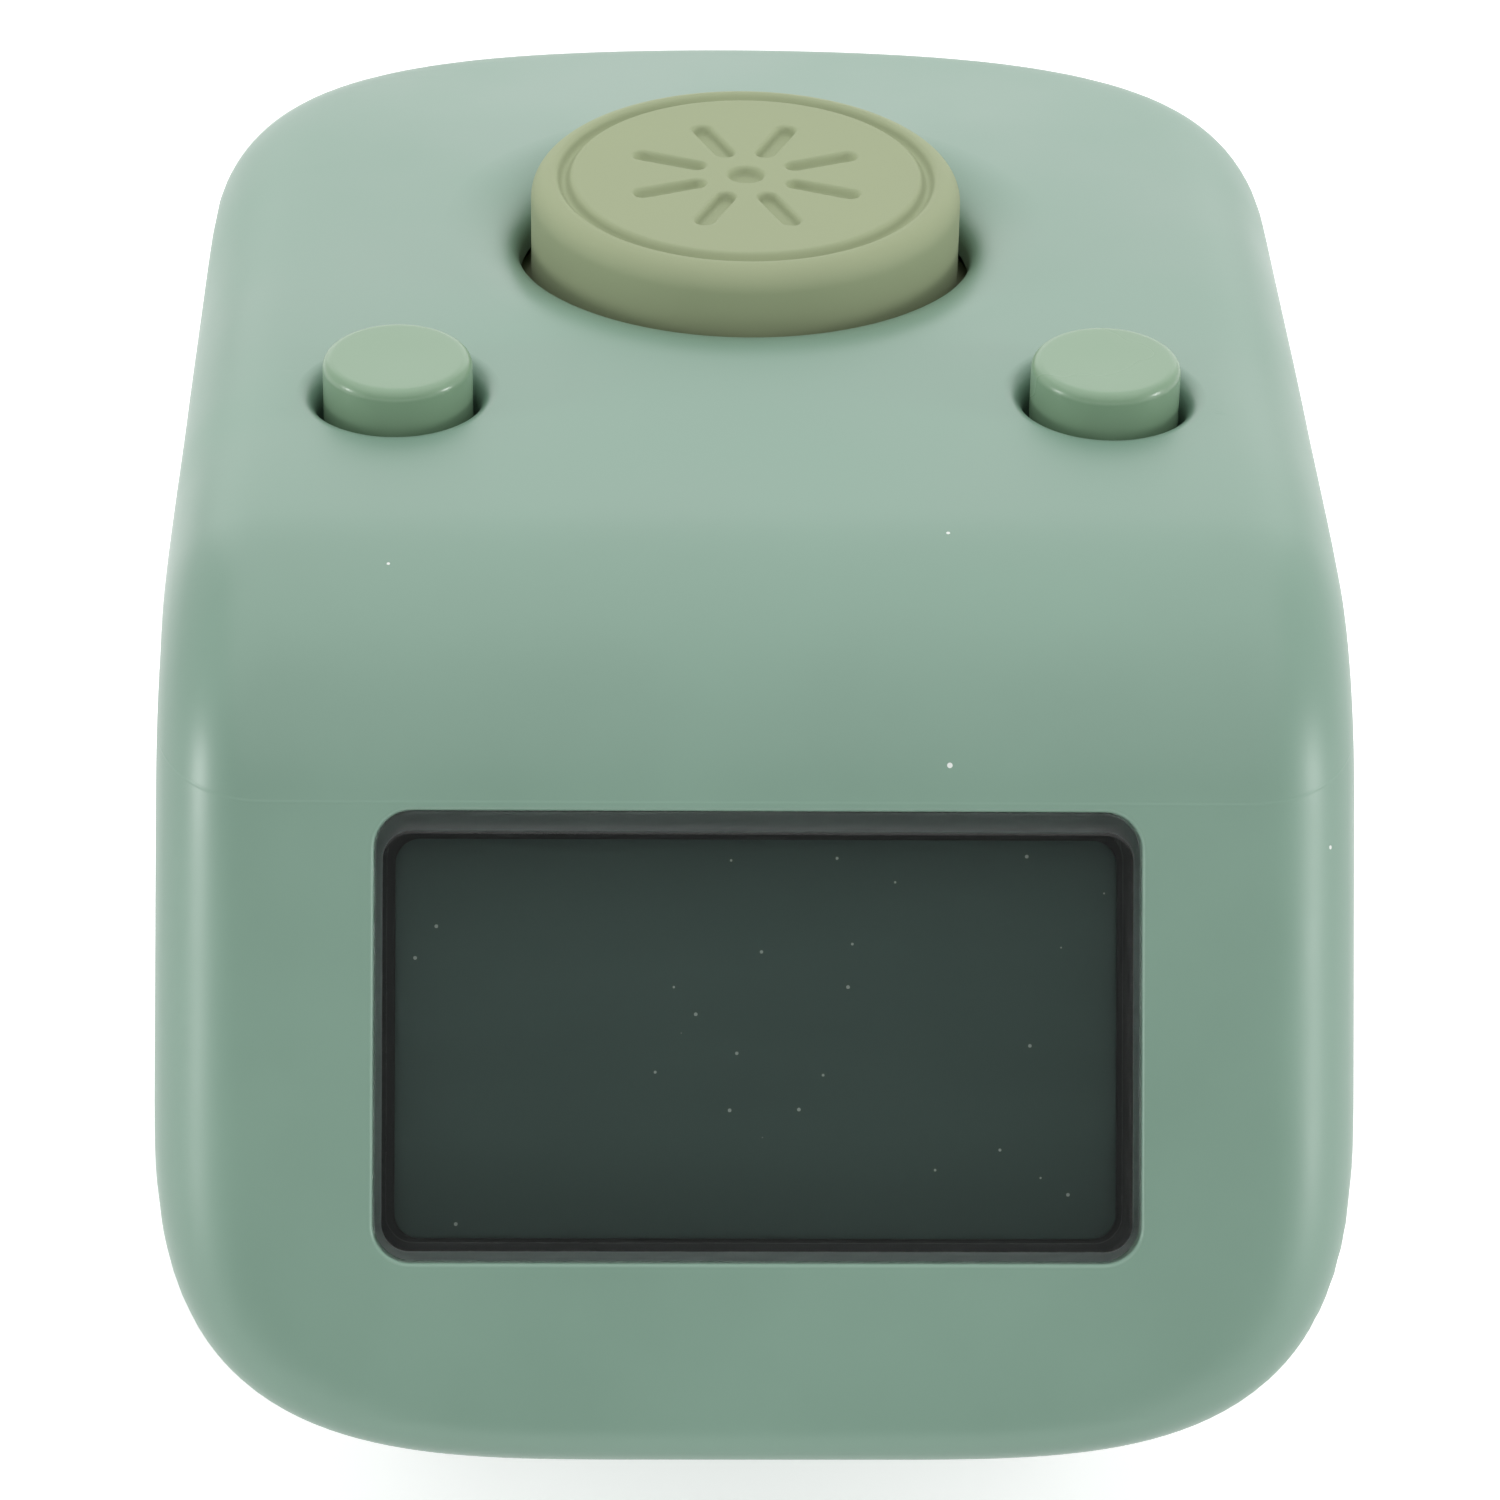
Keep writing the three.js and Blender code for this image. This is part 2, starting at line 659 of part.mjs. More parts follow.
// A plate with rounded corners whose outline shrinks by the inset at each level
function steppedPlate(halfWidth, halfHeight, corner, levels) {
  const perCorner = 5;
  const outline = (inset) => {
    const points = [];
    for (const [sx, sy, start] of [[1, -1, -0.5], [1, 1, 0], [-1, 1, 0.5], [-1, -1, 1]]) {
      for (let i = 0; i <= perCorner; i += 1) {
        const angle = Math.PI * (start + (0.5 * i) / perCorner);
        const radius = corner - inset;
        points.push([
          sx * (halfWidth - corner) + radius * Math.cos(angle),
          sy * (halfHeight - corner) + radius * Math.sin(angle)]);
      }
    }
    return points;
  };
  const vertices = [];
  const count = 4 * (perCorner + 1);
  for (const [height, inset] of levels) {
    for (const [x, y] of outline(inset)) vertices.push(x, y, height);
  }
  const triangles = [];
  for (let level = 0; level < levels.length - 1; level += 1) {
    for (let k = 0; k < count; k += 1) {
      const next = (k + 1) % count;
      const a = level * count;
      const b = a + count;
      triangles.push(a + k, a + next, b + next, a + k, b + next, b + k);
    }
  }
  const top = (levels.length - 1) * count;
  for (let k = 1; k < count - 1; k += 1) triangles.push(0, k + 1, k, top, top + k, top + k + 1);
  const geometry = new THREE.BufferGeometry();
  geometry.setAttribute('position', new THREE.BufferAttribute(new Float32Array(vertices), 3));
  geometry.setIndex(triangles);
  return toSolid(geometry);
}

function windowLens() {
  const pane = steppedPlate(lensHalf[0], lensHalf[1], windowCorner, [
    [-(lensBack + flangeBack) / 2, 0], [-lensRecess - lensBevel, 0], [-lensRecess, lensBevel]]);
  return joined(pane, prism(flangeOutline(0), -flangeBack, -lensBack));
}

function lensGasket() {
  const outer = prism(flangeOutline(0), -gasketBack, -gasketFront);
  const opening = prism(roundedRect(
    -lensHalf[0] + gasketLip, lensHalf[0] - gasketLip,
    -lensHalf[1] + gasketLip, lensHalf[1] - gasketTopLip, windowCorner - gasketLip), -gasketBack - spare, 0);
  return outer.subtract(opening);
}

const glassLow = glassRise - glassHeight / 2;
const glassHigh = glassRise + glassHeight / 2;
const diffuserHalf = glassWidth / 2 - ledWidth - stackGap;

const lcdGlass = () => box(-glassWidth / 2, glassWidth / 2, glassLow, glassHigh, -glassBack, -glassFront);
const lcdDiffuser = () => box(
  -diffuserHalf, diffuserHalf, glassLow + zebraHeight + fit, glassHigh, -diffuserBack, -diffuserFront);

function backlightLed(side) {
  const inner = side * (diffuserHalf + stackGap);
  const outer = side * (diffuserHalf + stackGap + ledWidth);
  return box(
    Math.min(inner, outer), Math.max(inner, outer),
    glassRise - ledHeight / 2, glassRise + ledHeight / 2, -diffuserBack, -diffuserFront);
}

// The elastomer strip joins the lower edge of the glass to the board behind it
const zebraStrip = () => box(
  -glassWidth / 2 + zebraInset, glassWidth / 2 - zebraInset, glassLow, glassLow + zebraHeight,
  -displayBoardFront + stackGap, -diffuserFront);

// The frame is trimmed to the inside of the case, so its lower corners follow the shell
function displayFrame() {
  const inner = glassWidth / 2 + fit;
  const low = glassLow - fit;
  const high = glassHigh + fit;
  const outer = box(
    -inner - frameWall, inner + frameWall, low - frameWall, high + frameWall,
    -displayBoardFront + stackGap, -gasketBack - stackGap);
  const opening = box(-inner, inner, low, high, -displayBoardFront - spare, 0);
  const room = innerCase(wall + 2 * fit).subtract(prism(coverOutline(-fit), -spare, coverTop + fit));
  const toFace = facePlace.clone().invert();
  return outer.subtract(opening).intersect(toSolid(toGeometry(room).applyMatrix4(toFace)));
}

const displayBoardLow = displayBoardRise - displayBoardHeight / 2;
const displayBoardHigh = displayBoardRise + displayBoardHeight / 2;
const displayBoard = () => box(
  -glassWidth / 2, glassWidth / 2, displayBoardLow, displayBoardHigh, -displayBoardBack, -displayBoardFront);

// A round blob of resin over the chip
function controllerChip() {
  const steps = 5;
  const profile = [[0, 0]];
  for (let i = 0; i <= steps; i += 1) {
    const turn = (Math.PI / 2) * (i / steps);
    profile.push([chipRadius * Math.cos(turn), -chipHeight * Math.sin(turn)]);
  }
  profile[profile.length - 1][0] = 0;
  return toSolid(turned(profile.reverse(), 24)).translate(0, displayBoardRise, -displayBoardBack - stackGap);
}

// The ribbon leaves the back of the display board, bends and lies on the main board
function ribbonCable() {
  const depth = -displayBoardBack - stackGap - ribbonThickness / 2;
  const onBoard = (up) => {
    const point = new THREE.Vector3(0, up, depth).applyMatrix4(facePlace);
    return new THREE.Vector2(point.y, point.z);
  };
  const start = onBoard(displayBoardHigh - ribbonFromEdge - ribbonEndFlat);
  const leave = onBoard(displayBoardHigh - ribbonFromEdge);
  const land = new THREE.Vector2(boardFront, boardTop + stackGap + ribbonThickness / 2);
  const bend = new THREE.CubicBezierCurve(
    leave, leave.clone().add(new THREE.Vector2(sine, cosine).multiplyScalar(ribbonRise)),
    land.clone().add(new THREE.Vector2(-ribbonSweep, 0)), land);
  const points = [start, ...bend.getPoints(10), land.clone().add(new THREE.Vector2(ribbonEndFlat, 0))];
  const left = [];
  const right = [];
  points.forEach((point, i) => {
    const before = points[Math.max(i - 1, 0)];
    const after = points[Math.min(i + 1, points.length - 1)];
    const along = after.clone().sub(before).normalize();
    const side = new THREE.Vector2(-along.y, along.x).multiplyScalar(ribbonThickness / 2);
    left.push(point.clone().add(side));
    right.unshift(point.clone().sub(side));
  });
  const shape = new THREE.Shape([...left, ...right]);
  return extrudedAlongX(shape, ribbonX - ribbonWidth / 2, ribbonX + ribbonWidth / 2);
}

// A shape drawn in Y and Z, carried along X
function extrudedAlongX(shape, x0, x1) {
  const geometry = new THREE.ExtrudeGeometry(shape, { depth: x1 - x0, bevelEnabled: false });
  geometry.applyMatrix4(new THREE.Matrix4().set(0, 0, 1, x0, 1, 0, 0, 0, 0, 1, 0, 0, 0, 0, 0, 1));
  return toSolid(geometry);
}

function mainBoard() {
  const outline = roundedRect(-boardHalfWidth, boardHalfWidth, boardFront, boardRear, boardCorner);
  const plate = prism(outline, boardBottom, boardTop);
  return without(
    plate,
    ...posts.map(([x, y]) => cylinder(x, y, 0, bodyHeight, postRadius + 2 * fit)),
    ...boardPosts.map(([x, y]) => pilot(x, y, 0, bodyHeight)));
}

// Heights of a button's levels: its flange lies under the case wall, its stem ends on the plunger,
// and the switch is as high as it has to be to reach the plunger
function buttonLevels(x, y, button) {
  const surface = topHeight(x, y, 0);
  const slope = topSlope(y);
  const flangeTop = surface - wall - 2 * fit - slope * button.flange;
  const flangeBottom = flangeTop - button.flangeHeight;
  const stemEnd = flangeBottom - button.stemLength;
  return { surface, slope, flangeTop, flangeBottom, stemEnd, switchTop: stemEnd - button.plungerRise };
}

// A button: a round cap whose top follows the fall of the case, a flange and a stem
function capSolid(x, y, button, topPoints) {
  const { surface, slope, flangeTop, flangeBottom, stemEnd } = buttonLevels(x, y, button);
  const top = surface + button.rise;
  const profile = [
    [0, stemEnd], [button.stem, stemEnd], [button.stem, flangeBottom],
    [button.flange, flangeBottom], [button.flange, flangeTop], [button.radius, flangeTop]];
  const steps = 4;
  for (let i = 0; i <= steps; i += 1) {
    const turn = (Math.PI / 2) * (i / steps);
    const inwards = button.rim * (1 - Math.cos(turn));
    profile.push([button.radius - inwards, top - button.rim * (1 - Math.sin(turn))]);
  }
  profile.push(...topPoints(top), [0, top]);
  const geometry = turned(profile, button.sides);
  const position = geometry.attributes.position;
  const above = (flangeTop + top - button.rim) / 2;
  for (let i = 0; i < position.count; i += 1) {
    const height = position.getZ(i);
    if (height > above) position.setZ(i, height - slope * position.getY(i));
  }
  return { solid: toSolid(geometry).translate(x, y, 0), top, slope };
}

// The big cap has a ring groove and a ring of short sunk strokes round a dot
function countCap() {
  const ring = (top) => [
    [ringGrooveRadius + ringGrooveWidth / 2, top],
    [ringGrooveRadius + ringGrooveWidth / 4, top - markDepth],
    [ringGrooveRadius - ringGrooveWidth / 4, top - markDepth],
    [ringGrooveRadius - ringGrooveWidth / 2, top]];
  const { solid, top, slope } = capSolid(0, countY, countButton, ring);
  const strokes = [];
  for (let k = 0; k < markStrokes; k += 1) {
    const angle = (2 * Math.PI * (k + 0.5)) / markStrokes;
    const stroke = new THREE.BoxGeometry(markOuter - markInner, markStrokeWidth, 2 * markDepth);
    stroke.translate((markInner + markOuter) / 2, 0, 0).rotateZ(angle);
    strokes.push(toSolid(stroke));
  }
  strokes.push(cylinder(0, 0, -markDepth, markDepth, markStrokeWidth, 12));
  const marks = toGeometry(joined(...strokes)).applyMatrix4(fallRearwards(slope));
  return solid.subtract(toSolid(marks).translate(0, countY, top));
}

const smallCap = (side) => capSolid(side * smallX, smallY, smallButton, () => []).solid;

function switchBody(x, y, button) {
  const half = button.switchSize / 2;
  const body = box(x - half, x + half, y - half, y + half, boardTop, buttonLevels(x, y, button).switchTop);
  return body.subtract(cylinder(x, y, boardTop + switchFloor, bodyHeight, button.plungerRadius + switchFit));
}

function switchPlunger(x, y, button) {
  const bottom = boardTop + switchFloor + button.travel + plungerSpare;
  return cylinder(x, y, bottom, buttonLevels(x, y, button).stemEnd - plungerGap, button.plungerRadius);
}

// Spring leaf under the board that presses on the small end of the cell
function negativeContact() {
  const low = cellTop + stackGap;
  const sheet = contactSheet;
  const under = [[-springBack, boardBottom - sheet], [-springKnee, boardBottom - sheet], [springTouch, low],
    [springTip, low + sheet]];
  const over = under.map(([along, height]) => [along, height + sheet]).reverse();
  const shape = new THREE.Shape([...under, ...over].map(([along, z]) => new THREE.Vector2(cellY + along, z)));
  return extrudedAlongX(shape, -contactWidth / 2, contactWidth / 2);
}

// Clip that hangs from the board and touches the side of the cell
function positiveContact() {
  const inner = -(cellRadius + stackGap);
  const y0 = cellY - contactWidth / 2;
  const y1 = cellY + contactWidth / 2;
  return joined(
    box(inner - contactSheet, inner, y0, y1, cellTop - clipDrop, boardBottom),
    box(inner - clipFoot, inner, y0, y1, boardBottom - contactSheet, boardBottom));
}

// Coin cell with its small end up
function batteryCell() {
  const shoulder = cellTop - cellRimDrop;
  const capRadius = cellRadius - cellRim;
  return toSolid(turned([
    [0, cellBottom], [cellRadius - cellChamfer, cellBottom], [cellRadius, cellBottom + cellChamfer],
    [cellRadius, shoulder - cellChamfer], [cellRadius - cellChamfer, shoulder], [capRadius, shoulder],
    [capRadius, cellTop], [0, cellTop]], 40)).translate(0, cellY, 0);
}

// The band's middle line runs down from its slot, bulges out and turns under in a flat bottom
function bandLine() {
  const low = -bandDrop + bandThickness / 2;
  const slotEnd = new THREE.Vector2(bandSlotX, 0);
  const widest = new THREE.Vector2(bandBulge, -bandWaist);
  const flatEnd = new THREE.Vector2(bandFlat, low);
  const pull = 0.62;             // how far the handles of the curves reach towards each other
  const upper = new THREE.CubicBezierCurve(
    slotEnd, new THREE.Vector2(bandSlotX, -bandWaist * (1 - pull)),
    new THREE.Vector2(bandBulge, -bandWaist * (1 - pull)), widest);
  const lower = new THREE.CubicBezierCurve(
    widest, new THREE.Vector2(bandBulge, -bandWaist + (low + bandWaist) * pull),
    new THREE.Vector2(bandFlat + (bandBulge - bandFlat) * pull, low), flatEnd);
  const right = [new THREE.Vector2(bandSlotX, coverTop + bandHeadHeight / 2), slotEnd];
  const steps = 8;
  for (let i = 1; i <= steps; i += 1) right.push(upper.getPoint(i / steps));
  for (let i = 1; i <= steps; i += 1) right.push(lower.getPoint(i / steps));
  const left = right.map((point) => new THREE.Vector2(-point.x, point.y)).reverse();
  return [...right, ...left];
}

function fingerBand() {
  const line = bandLine();
  const outer = [];
  const inner = [];
  line.forEach((point, i) => {
    const before = line[Math.max(i - 1, 0)];
    const after = line[Math.min(i + 1, line.length - 1)];
    const along = after.clone().sub(before).normalize();
    if (i <= 1) along.set(0, -1);
    if (i >= line.length - 2) along.set(0, 1);
    const side = new THREE.Vector2(-along.y, along.x).multiplyScalar(bandThickness / 2);
    outer.push(point.clone().add(side));
    inner.unshift(point.clone().sub(side));
  });
  const geometry = new THREE.ExtrudeGeometry(
    new THREE.Shape([...outer, ...inner]), { depth: bandWidth, bevelEnabled: false });
  geometry.applyMatrix4(new THREE.Matrix4().set(
    1, 0, 0, 0, 0, 0, -1, bandY + bandWidth / 2, 0, 1, 0, 0, 0, 0, 0, 1));
  const heads = [-1, 1].map((side) => box(
    side * bandSlotX - bandHeadWidth / 2, side * bandSlotX + bandHeadWidth / 2,
    bandY - bandWidth / 2, bandY + bandWidth / 2, coverTop, coverTop + bandHeadHeight));
  return joined(toSolid(geometry), ...heads);
}

const crystal = () => {
  const geometry = new THREE.CylinderGeometry(crystalRadius, crystalRadius, crystalLength, 16);
  geometry.rotateZ(Math.PI / 2).translate(crystalX, smallPartsY, boardTop + crystalRadius + stackGap);
  return toSolid(geometry);
};

function capacitor(x) {
  const [length, width, height] = capacitorSize;
  return box(
    x - length / 2, x + length / 2, smallPartsY - width / 2, smallPartsY + width / 2,
    boardTop, boardTop + height);
}

// The assembly: the case group holds what stands square, the face group what leans with the display
const assembly = new THREE.Group();
const faceGroup = new THREE.Group();
faceGroup.applyMatrix4(facePlace);
assembly.add(faceGroup);

function addPiece(group, name, solid, material) {
  const mesh = new THREE.Mesh(toGeometry(solid), material);
  mesh.name = name;
  group.add(mesh);
}

addPiece(assembly, 'upper_case', upperCase(), caseGreen());
addPiece(assembly, 'lower_case', lowerCase(), coverGreen());
addPiece(assembly, 'battery_door', batteryDoor(), coverGreen());
const doorScrew = screw(0, doorScrewY, doorSeat, doorScrewLength, doorScrewHeadHeight);
addPiece(assembly, 'battery_door_screw', doorScrew, steel());
posts.forEach(([x, y], i) => {
  const seat = undersideHeight(x, y) + screwHeadDepth;
  addPiece(assembly, `case_screw_${i + 1}`, screw(x, y, seat, screwLength, screwHeadHeight), steel());
});
addPiece(faceGroup, 'window_lens', windowLens(), clearPlastic());
addPiece(faceGroup, 'lens_gasket', lensGasket(), blackFoam());
addPiece(faceGroup, 'lcd_glass', lcdGlass(), displayDark());
addPiece(faceGroup, 'lcd_diffuser', lcdDiffuser(), whitePlastic());
addPiece(faceGroup, 'backlight_led_left', backlightLed(-1), whitePlastic());
addPiece(faceGroup, 'backlight_led_right', backlightLed(1), whitePlastic());
addPiece(faceGroup, 'display_frame', displayFrame(), blackPlastic());
addPiece(faceGroup, 'zebra_strip', zebraStrip(), zebraRubber());
addPiece(faceGroup, 'display_board', displayBoard(), boardGreen());
addPiece(faceGroup, 'controller_chip', controllerChip(), epoxy());
addPiece(assembly, 'ribbon_cable', ribbonCable(), amberFilm());
addPiece(assembly, 'main_board', mainBoard(), boardGreen());
boardPosts.forEach(([x, y], i) => {
  const driven = screw(x, y, boardBottom, boardScrewLength, screwHeadHeight);
  addPiece(assembly, `board_screw_${i + 1}`, driven, steel());
});
addPiece(assembly, 'crystal', crystal(), steel());
capacitorX.forEach((x, i) => addPiece(assembly, `capacitor_${i + 1}`, capacitor(x), capacitorBrown()));
addPiece(assembly, 'count_button', countCap(), buttonKhaki());
addPiece(assembly, 'reset_button', smallCap(-1), buttonGreen());
addPiece(assembly, 'light_button', smallCap(1), buttonGreen());
for (const [name, x, y, button] of [
  ['count', 0, countY, countButton],
  ['reset', -smallX, smallY, smallButton],
  ['light', smallX, smallY, smallButton],
]) {
  addPiece(assembly, `${name}_switch`, switchBody(x, y, button), blackPlastic());
  addPiece(assembly, `${name}_plunger`, switchPlunger(x, y, button), whitePlastic());
}
addPiece(assembly, 'battery_cell', batteryCell(), steel());
addPiece(assembly, 'battery_contact_negative', negativeContact(), goldPlate());
addPiece(assembly, 'battery_contact_positive', positiveContact(), goldPlate());
addPiece(assembly, 'finger_band', fingerBand(), bandSilicone());

// Stand the counter on its band, with the middle of its footprint at the origin
const bounds = new THREE.Box3().setFromObject(assembly);
assembly.position.set(0, -(bounds.min.y + bounds.max.y) / 2, -bounds.min.z);

export default assembly;
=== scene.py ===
"""Looks of the digital finger counter: each visible piece as a surface worked out with numpy,
its finish as a procedural material, and a pale studio. Run as a script; laid out as an add-on."""
import json
import math

import bmesh
import bpy
import numpy as np
from bpy.props import FloatProperty, FloatVectorProperty, IntProperty, PointerProperty
from mathutils import Matrix, Vector
from mathutils.geometry import delaunay_2d_cdt


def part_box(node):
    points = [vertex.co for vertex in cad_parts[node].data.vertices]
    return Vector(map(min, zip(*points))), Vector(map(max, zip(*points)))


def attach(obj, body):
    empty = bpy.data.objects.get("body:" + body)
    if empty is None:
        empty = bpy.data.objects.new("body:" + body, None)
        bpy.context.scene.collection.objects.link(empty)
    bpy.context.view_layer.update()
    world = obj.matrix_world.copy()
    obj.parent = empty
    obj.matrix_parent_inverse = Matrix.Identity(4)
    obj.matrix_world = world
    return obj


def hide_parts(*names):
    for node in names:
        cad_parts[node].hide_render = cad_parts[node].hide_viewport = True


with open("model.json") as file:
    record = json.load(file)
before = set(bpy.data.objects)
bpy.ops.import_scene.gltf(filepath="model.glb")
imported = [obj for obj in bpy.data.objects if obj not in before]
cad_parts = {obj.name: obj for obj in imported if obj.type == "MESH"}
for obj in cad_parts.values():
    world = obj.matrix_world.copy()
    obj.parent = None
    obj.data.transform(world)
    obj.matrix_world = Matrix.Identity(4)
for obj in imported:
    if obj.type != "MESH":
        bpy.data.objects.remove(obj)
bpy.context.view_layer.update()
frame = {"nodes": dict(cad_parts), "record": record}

bl_info = {
    "name": "Digital finger counter",
    "version": (1, 0, 0),
    "blender": (4, 5, 0),
    "location": "3D View > Sidebar > Finger Counter",
    "description": "Builds the visible pieces of a digital finger counter on its packed model",
    "category": "Object",
}

# Shape of the case in millimetres, in the case's own frame: X right, Y to the back with 0 midway
# between the foot of the face and the rear wall, Z up from the underside
BODY_WIDTH = 27.6
BODY_RUN = 44.3
BODY_HEIGHT = 17.1
FACE_TILT = math.radians(34)
TOP_RADIUS = 141.0
CREST_FROM_REAR = 24.5
CROWN_RADIUS = 310.0
BROW_RADIUS = 8.0
EDGE_RADIUS = 2.7
REAR_EDGE_RADIUS = 2.5
REAR_BOW = 40.0
CORNER_WIDTH = 11.4
CORNER_DEPTH = 8.0
CORNER_HEIGHT = 7.2
CORNER_FULLNESS = 3.5
WALL = 1.5
FIT = 0.15
GROOVE_RADIUS = 18.0
GROOVE_DEPTH = 0.6
BAND_DROP = 13.5
BAND_Y = 3.775

# Places of the openings and of what stands in them
COUNT_Y = 8.0
SMALL_X = 8.46
SMALL_Y = -1.05
WINDOW_UP = 10.74
WINDOW_HALF = (8.68, 5.1)
WINDOW_CORNER = 0.85
PANE_FIT = 0.03
PANE_RECESS = 0.05
LENS_BEVELS = {"side": 0.16, "top": 0.44, "bottom": 0.22}
COVER_HALF = 9.4
COVER_Y = (-14.55, 17.55)
COVER_CORNER = 4.0
COVER_TOP = 2.2
CELL_Y = 10.25
PAD_RADIUS = 4.4
DOOR_HALF = 6.45
DOOR_Y = (0.55, 16.55)
DOOR_CORNER = 1.6
DOOR_TOP = 1.3
DOOR_SCREW_Y = 2.45
POST_X = 7.8
POST_Y = (-6.1, 13.65)
PILOT_RADIUS = 0.8
POST_SEAT = 1.0
DOOR_SEAT = 0.35
SLOT_X = 7.7
SLOT_HALF = (0.95, 5.65)
SLOT_CORNER = 0.25
SOFT_EDGE = 0.05
CRADLE_RADII = (6.05, 6.85)
CRADLE_HEIGHT = 4.0
CRADLE_HALF_ANGLE = math.asin(2.7 / 6.9)
BOSS_RADIUS = 1.7
BOSS_HEIGHT = 2.6
BURIED = 0.02

# Camera, found from the outline in the photo
CAMERA_PLACE = (-0.00336, -0.12409, 0.10106)
CAMERA_LENS = 141.6
CAMERA_YAW, CAMERA_PITCH, CAMERA_ROLL = (math.radians(angle) for angle in (1.626, 33.386, 1.099))

# Lamps: name, place in metres, width and height in metres, power in watts
LAMPS = [
    ("sky_panel", (0.0, -0.08, 0.66), 1.0, 1.2, 3.1),
    ("back_panel", (0.0, 0.55, 0.33), 0.9, 0.54, 1.3),
    ("front_panel", (0.0, -0.6, 0.07), 0.7, 0.14, 0.2),
    ("left_panel", (-0.45, -0.1, 0.12), 0.08, 0.1, 0.45),
    ("right_panel", (0.45, -0.1, 0.12), 0.08, 0.1, 0.5),
]

SIDE_X = BODY_WIDTH / 2
REAR_Y = BODY_RUN / 2
FOOT_Y = -BODY_RUN / 2
CREST_Y = REAR_Y - CREST_FROM_REAR
ARC_Z = BODY_HEIGHT - TOP_RADIUS
SINE = math.sin(FACE_TILT)
COSINE = math.cos(FACE_TILT)
ACROSS = np.array([1.0, 0.0, 0.0])
FACE_UP = np.array([0.0, SINE, COSINE])
FACE_OUT = np.array([0.0, -COSINE, SINE])
WINDOW_MIDDLE = np.array([0.0, FOOT_Y + WINDOW_UP * SINE, WINDOW_UP * COSINE])
COVER_MIDDLE = (0.0, (COVER_Y[0] + COVER_Y[1]) / 2)
COVER_REACH = (COVER_Y[1] - COVER_Y[0]) / 2
DOOR_MIDDLE = (0.0, (DOOR_Y[0] + DOOR_Y[1]) / 2)
DOOR_REACH = (DOOR_Y[1] - DOOR_Y[0]) / 2
HEART_Z = BODY_HEIGHT * 0.45
BAND_LOW, BAND_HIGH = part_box("finger_band")
SHIFT = np.array([0.0, (BAND_LOW.y + BAND_HIGH.y) * 500 - BAND_Y, BAND_DROP])


def brow_arc():
    """Centre of the arc between face and top, and the direction in which it meets the top.

    The centre lies a brow radius behind the face and as far below the long arc of the top.
    """
    start = np.array([FOOT_Y + BROW_RADIUS * COSINE, -BROW_RADIUS * SINE])
    offset = start - (CREST_Y, ARC_Z)
    half = offset @ (SINE, COSINE)
    reach = TOP_RADIUS - BROW_RADIUS
    along = -half + math.sqrt(half * half - (offset @ offset - reach * reach))
    centre = start + along * np.array([SINE, COSINE])
    return centre, (centre - (CREST_Y, ARC_Z)) / reach


BROW, BROW_TOP = brow_arc()


def smooth_step(t):
    """Zero below 0, one above 1 and 3t2 - 2t3 between."""
    s = np.clip(t, 0, 1)
    return s * s * (3 - 2 * s)


def case_field(points, inset=0.0):
    """Distance-like field of the case, negative inside.

    The side profile is the greater of the leaning face and the long top arc, with the brow's
    arc between them. The girth is a superellipsoid corner at the rear and along the bottom.
    The two meet in a rounded edge. inset moves every wall inwards by the same distance.
    """
    x, y, z = points[..., 0], points[..., 1], points[..., 2]
    lifted = z + smooth_step((y - BROW[0]) / BROW_RADIUS) * x * x / (2 * CROWN_RADIUS)
    face = -COSINE * (y - FOOT_Y) + SINE * lifted + inset
    top = np.hypot(y - CREST_Y, lifted - ARC_Z) - TOP_RADIUS + inset
    from_brow_y, from_brow_z = y - BROW[0], lifted - BROW[1]
    in_brow = from_brow_y * SINE + from_brow_z * COSINE > 0
    in_brow &= from_brow_z * BROW_TOP[0] - from_brow_y * BROW_TOP[1] > 0
    brow = np.hypot(from_brow_y, from_brow_z) - BROW_RADIUS + inset
    profile = np.where(in_brow, brow, np.maximum(face, top))
    rx = CORNER_WIDTH - inset
    bowed = y + x * x / (2 * REAR_BOW)
    qx = np.maximum(np.abs(x) - (SIDE_X - CORNER_WIDTH), 0) / rx
    qy = np.maximum(bowed - (REAR_Y - CORNER_DEPTH), 0) / (CORNER_DEPTH - inset)
    qz = np.maximum(CORNER_HEIGHT - z, 0) / (CORNER_HEIGHT - inset)
    power = qx ** CORNER_FULLNESS + qy ** CORNER_FULLNESS + qz ** CORNER_FULLNESS
    girth = (power ** (1 / CORNER_FULLNESS) - 1) * rx
    rear = smooth_step((y - (REAR_Y - 2 * CORNER_DEPTH)) / CORNER_DEPTH)
    edge = np.maximum(EDGE_RADIUS + (REAR_EDGE_RADIUS - EDGE_RADIUS) * rear - inset, 0.5)
    a, b = profile + edge, girth + edge
    outside = np.hypot(np.maximum(a, 0), np.maximum(b, 0))
    return np.minimum(np.maximum(a, b), 0) + outside - edge


def leave_case(origin, direction, inset=0.0):
    """Points where rays from inside leave the case, found by halving their length forty times."""
    origin, direction = np.broadcast_arrays(origin, direction)
    near = np.zeros(direction.shape[:-1])
    far = np.full(near.shape, BODY_RUN)
    for _ in range(40):
        middle = (near + far) / 2
        inside = case_field(origin + middle[..., None] * direction, inset) < 0
        near = np.where(inside, middle, near)
        far = np.where(inside, far, middle)
    return origin + near[..., None] * direction


def case_normal(points):
    """Direction in which the case's field grows fastest, from small steps to either side."""
    step = 1e-3
    slope = [case_field(points + step * axis) - case_field(points - step * axis) for axis in np.eye(3)]
    slope = np.stack(slope, axis=-1)
    return slope / np.linalg.norm(slope, axis=-1, keepdims=True)


# Mesh building

def to_row(points):
    """Millimetres in the case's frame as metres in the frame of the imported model."""
    return (np.asarray(points, float) + SHIFT) * 0.001


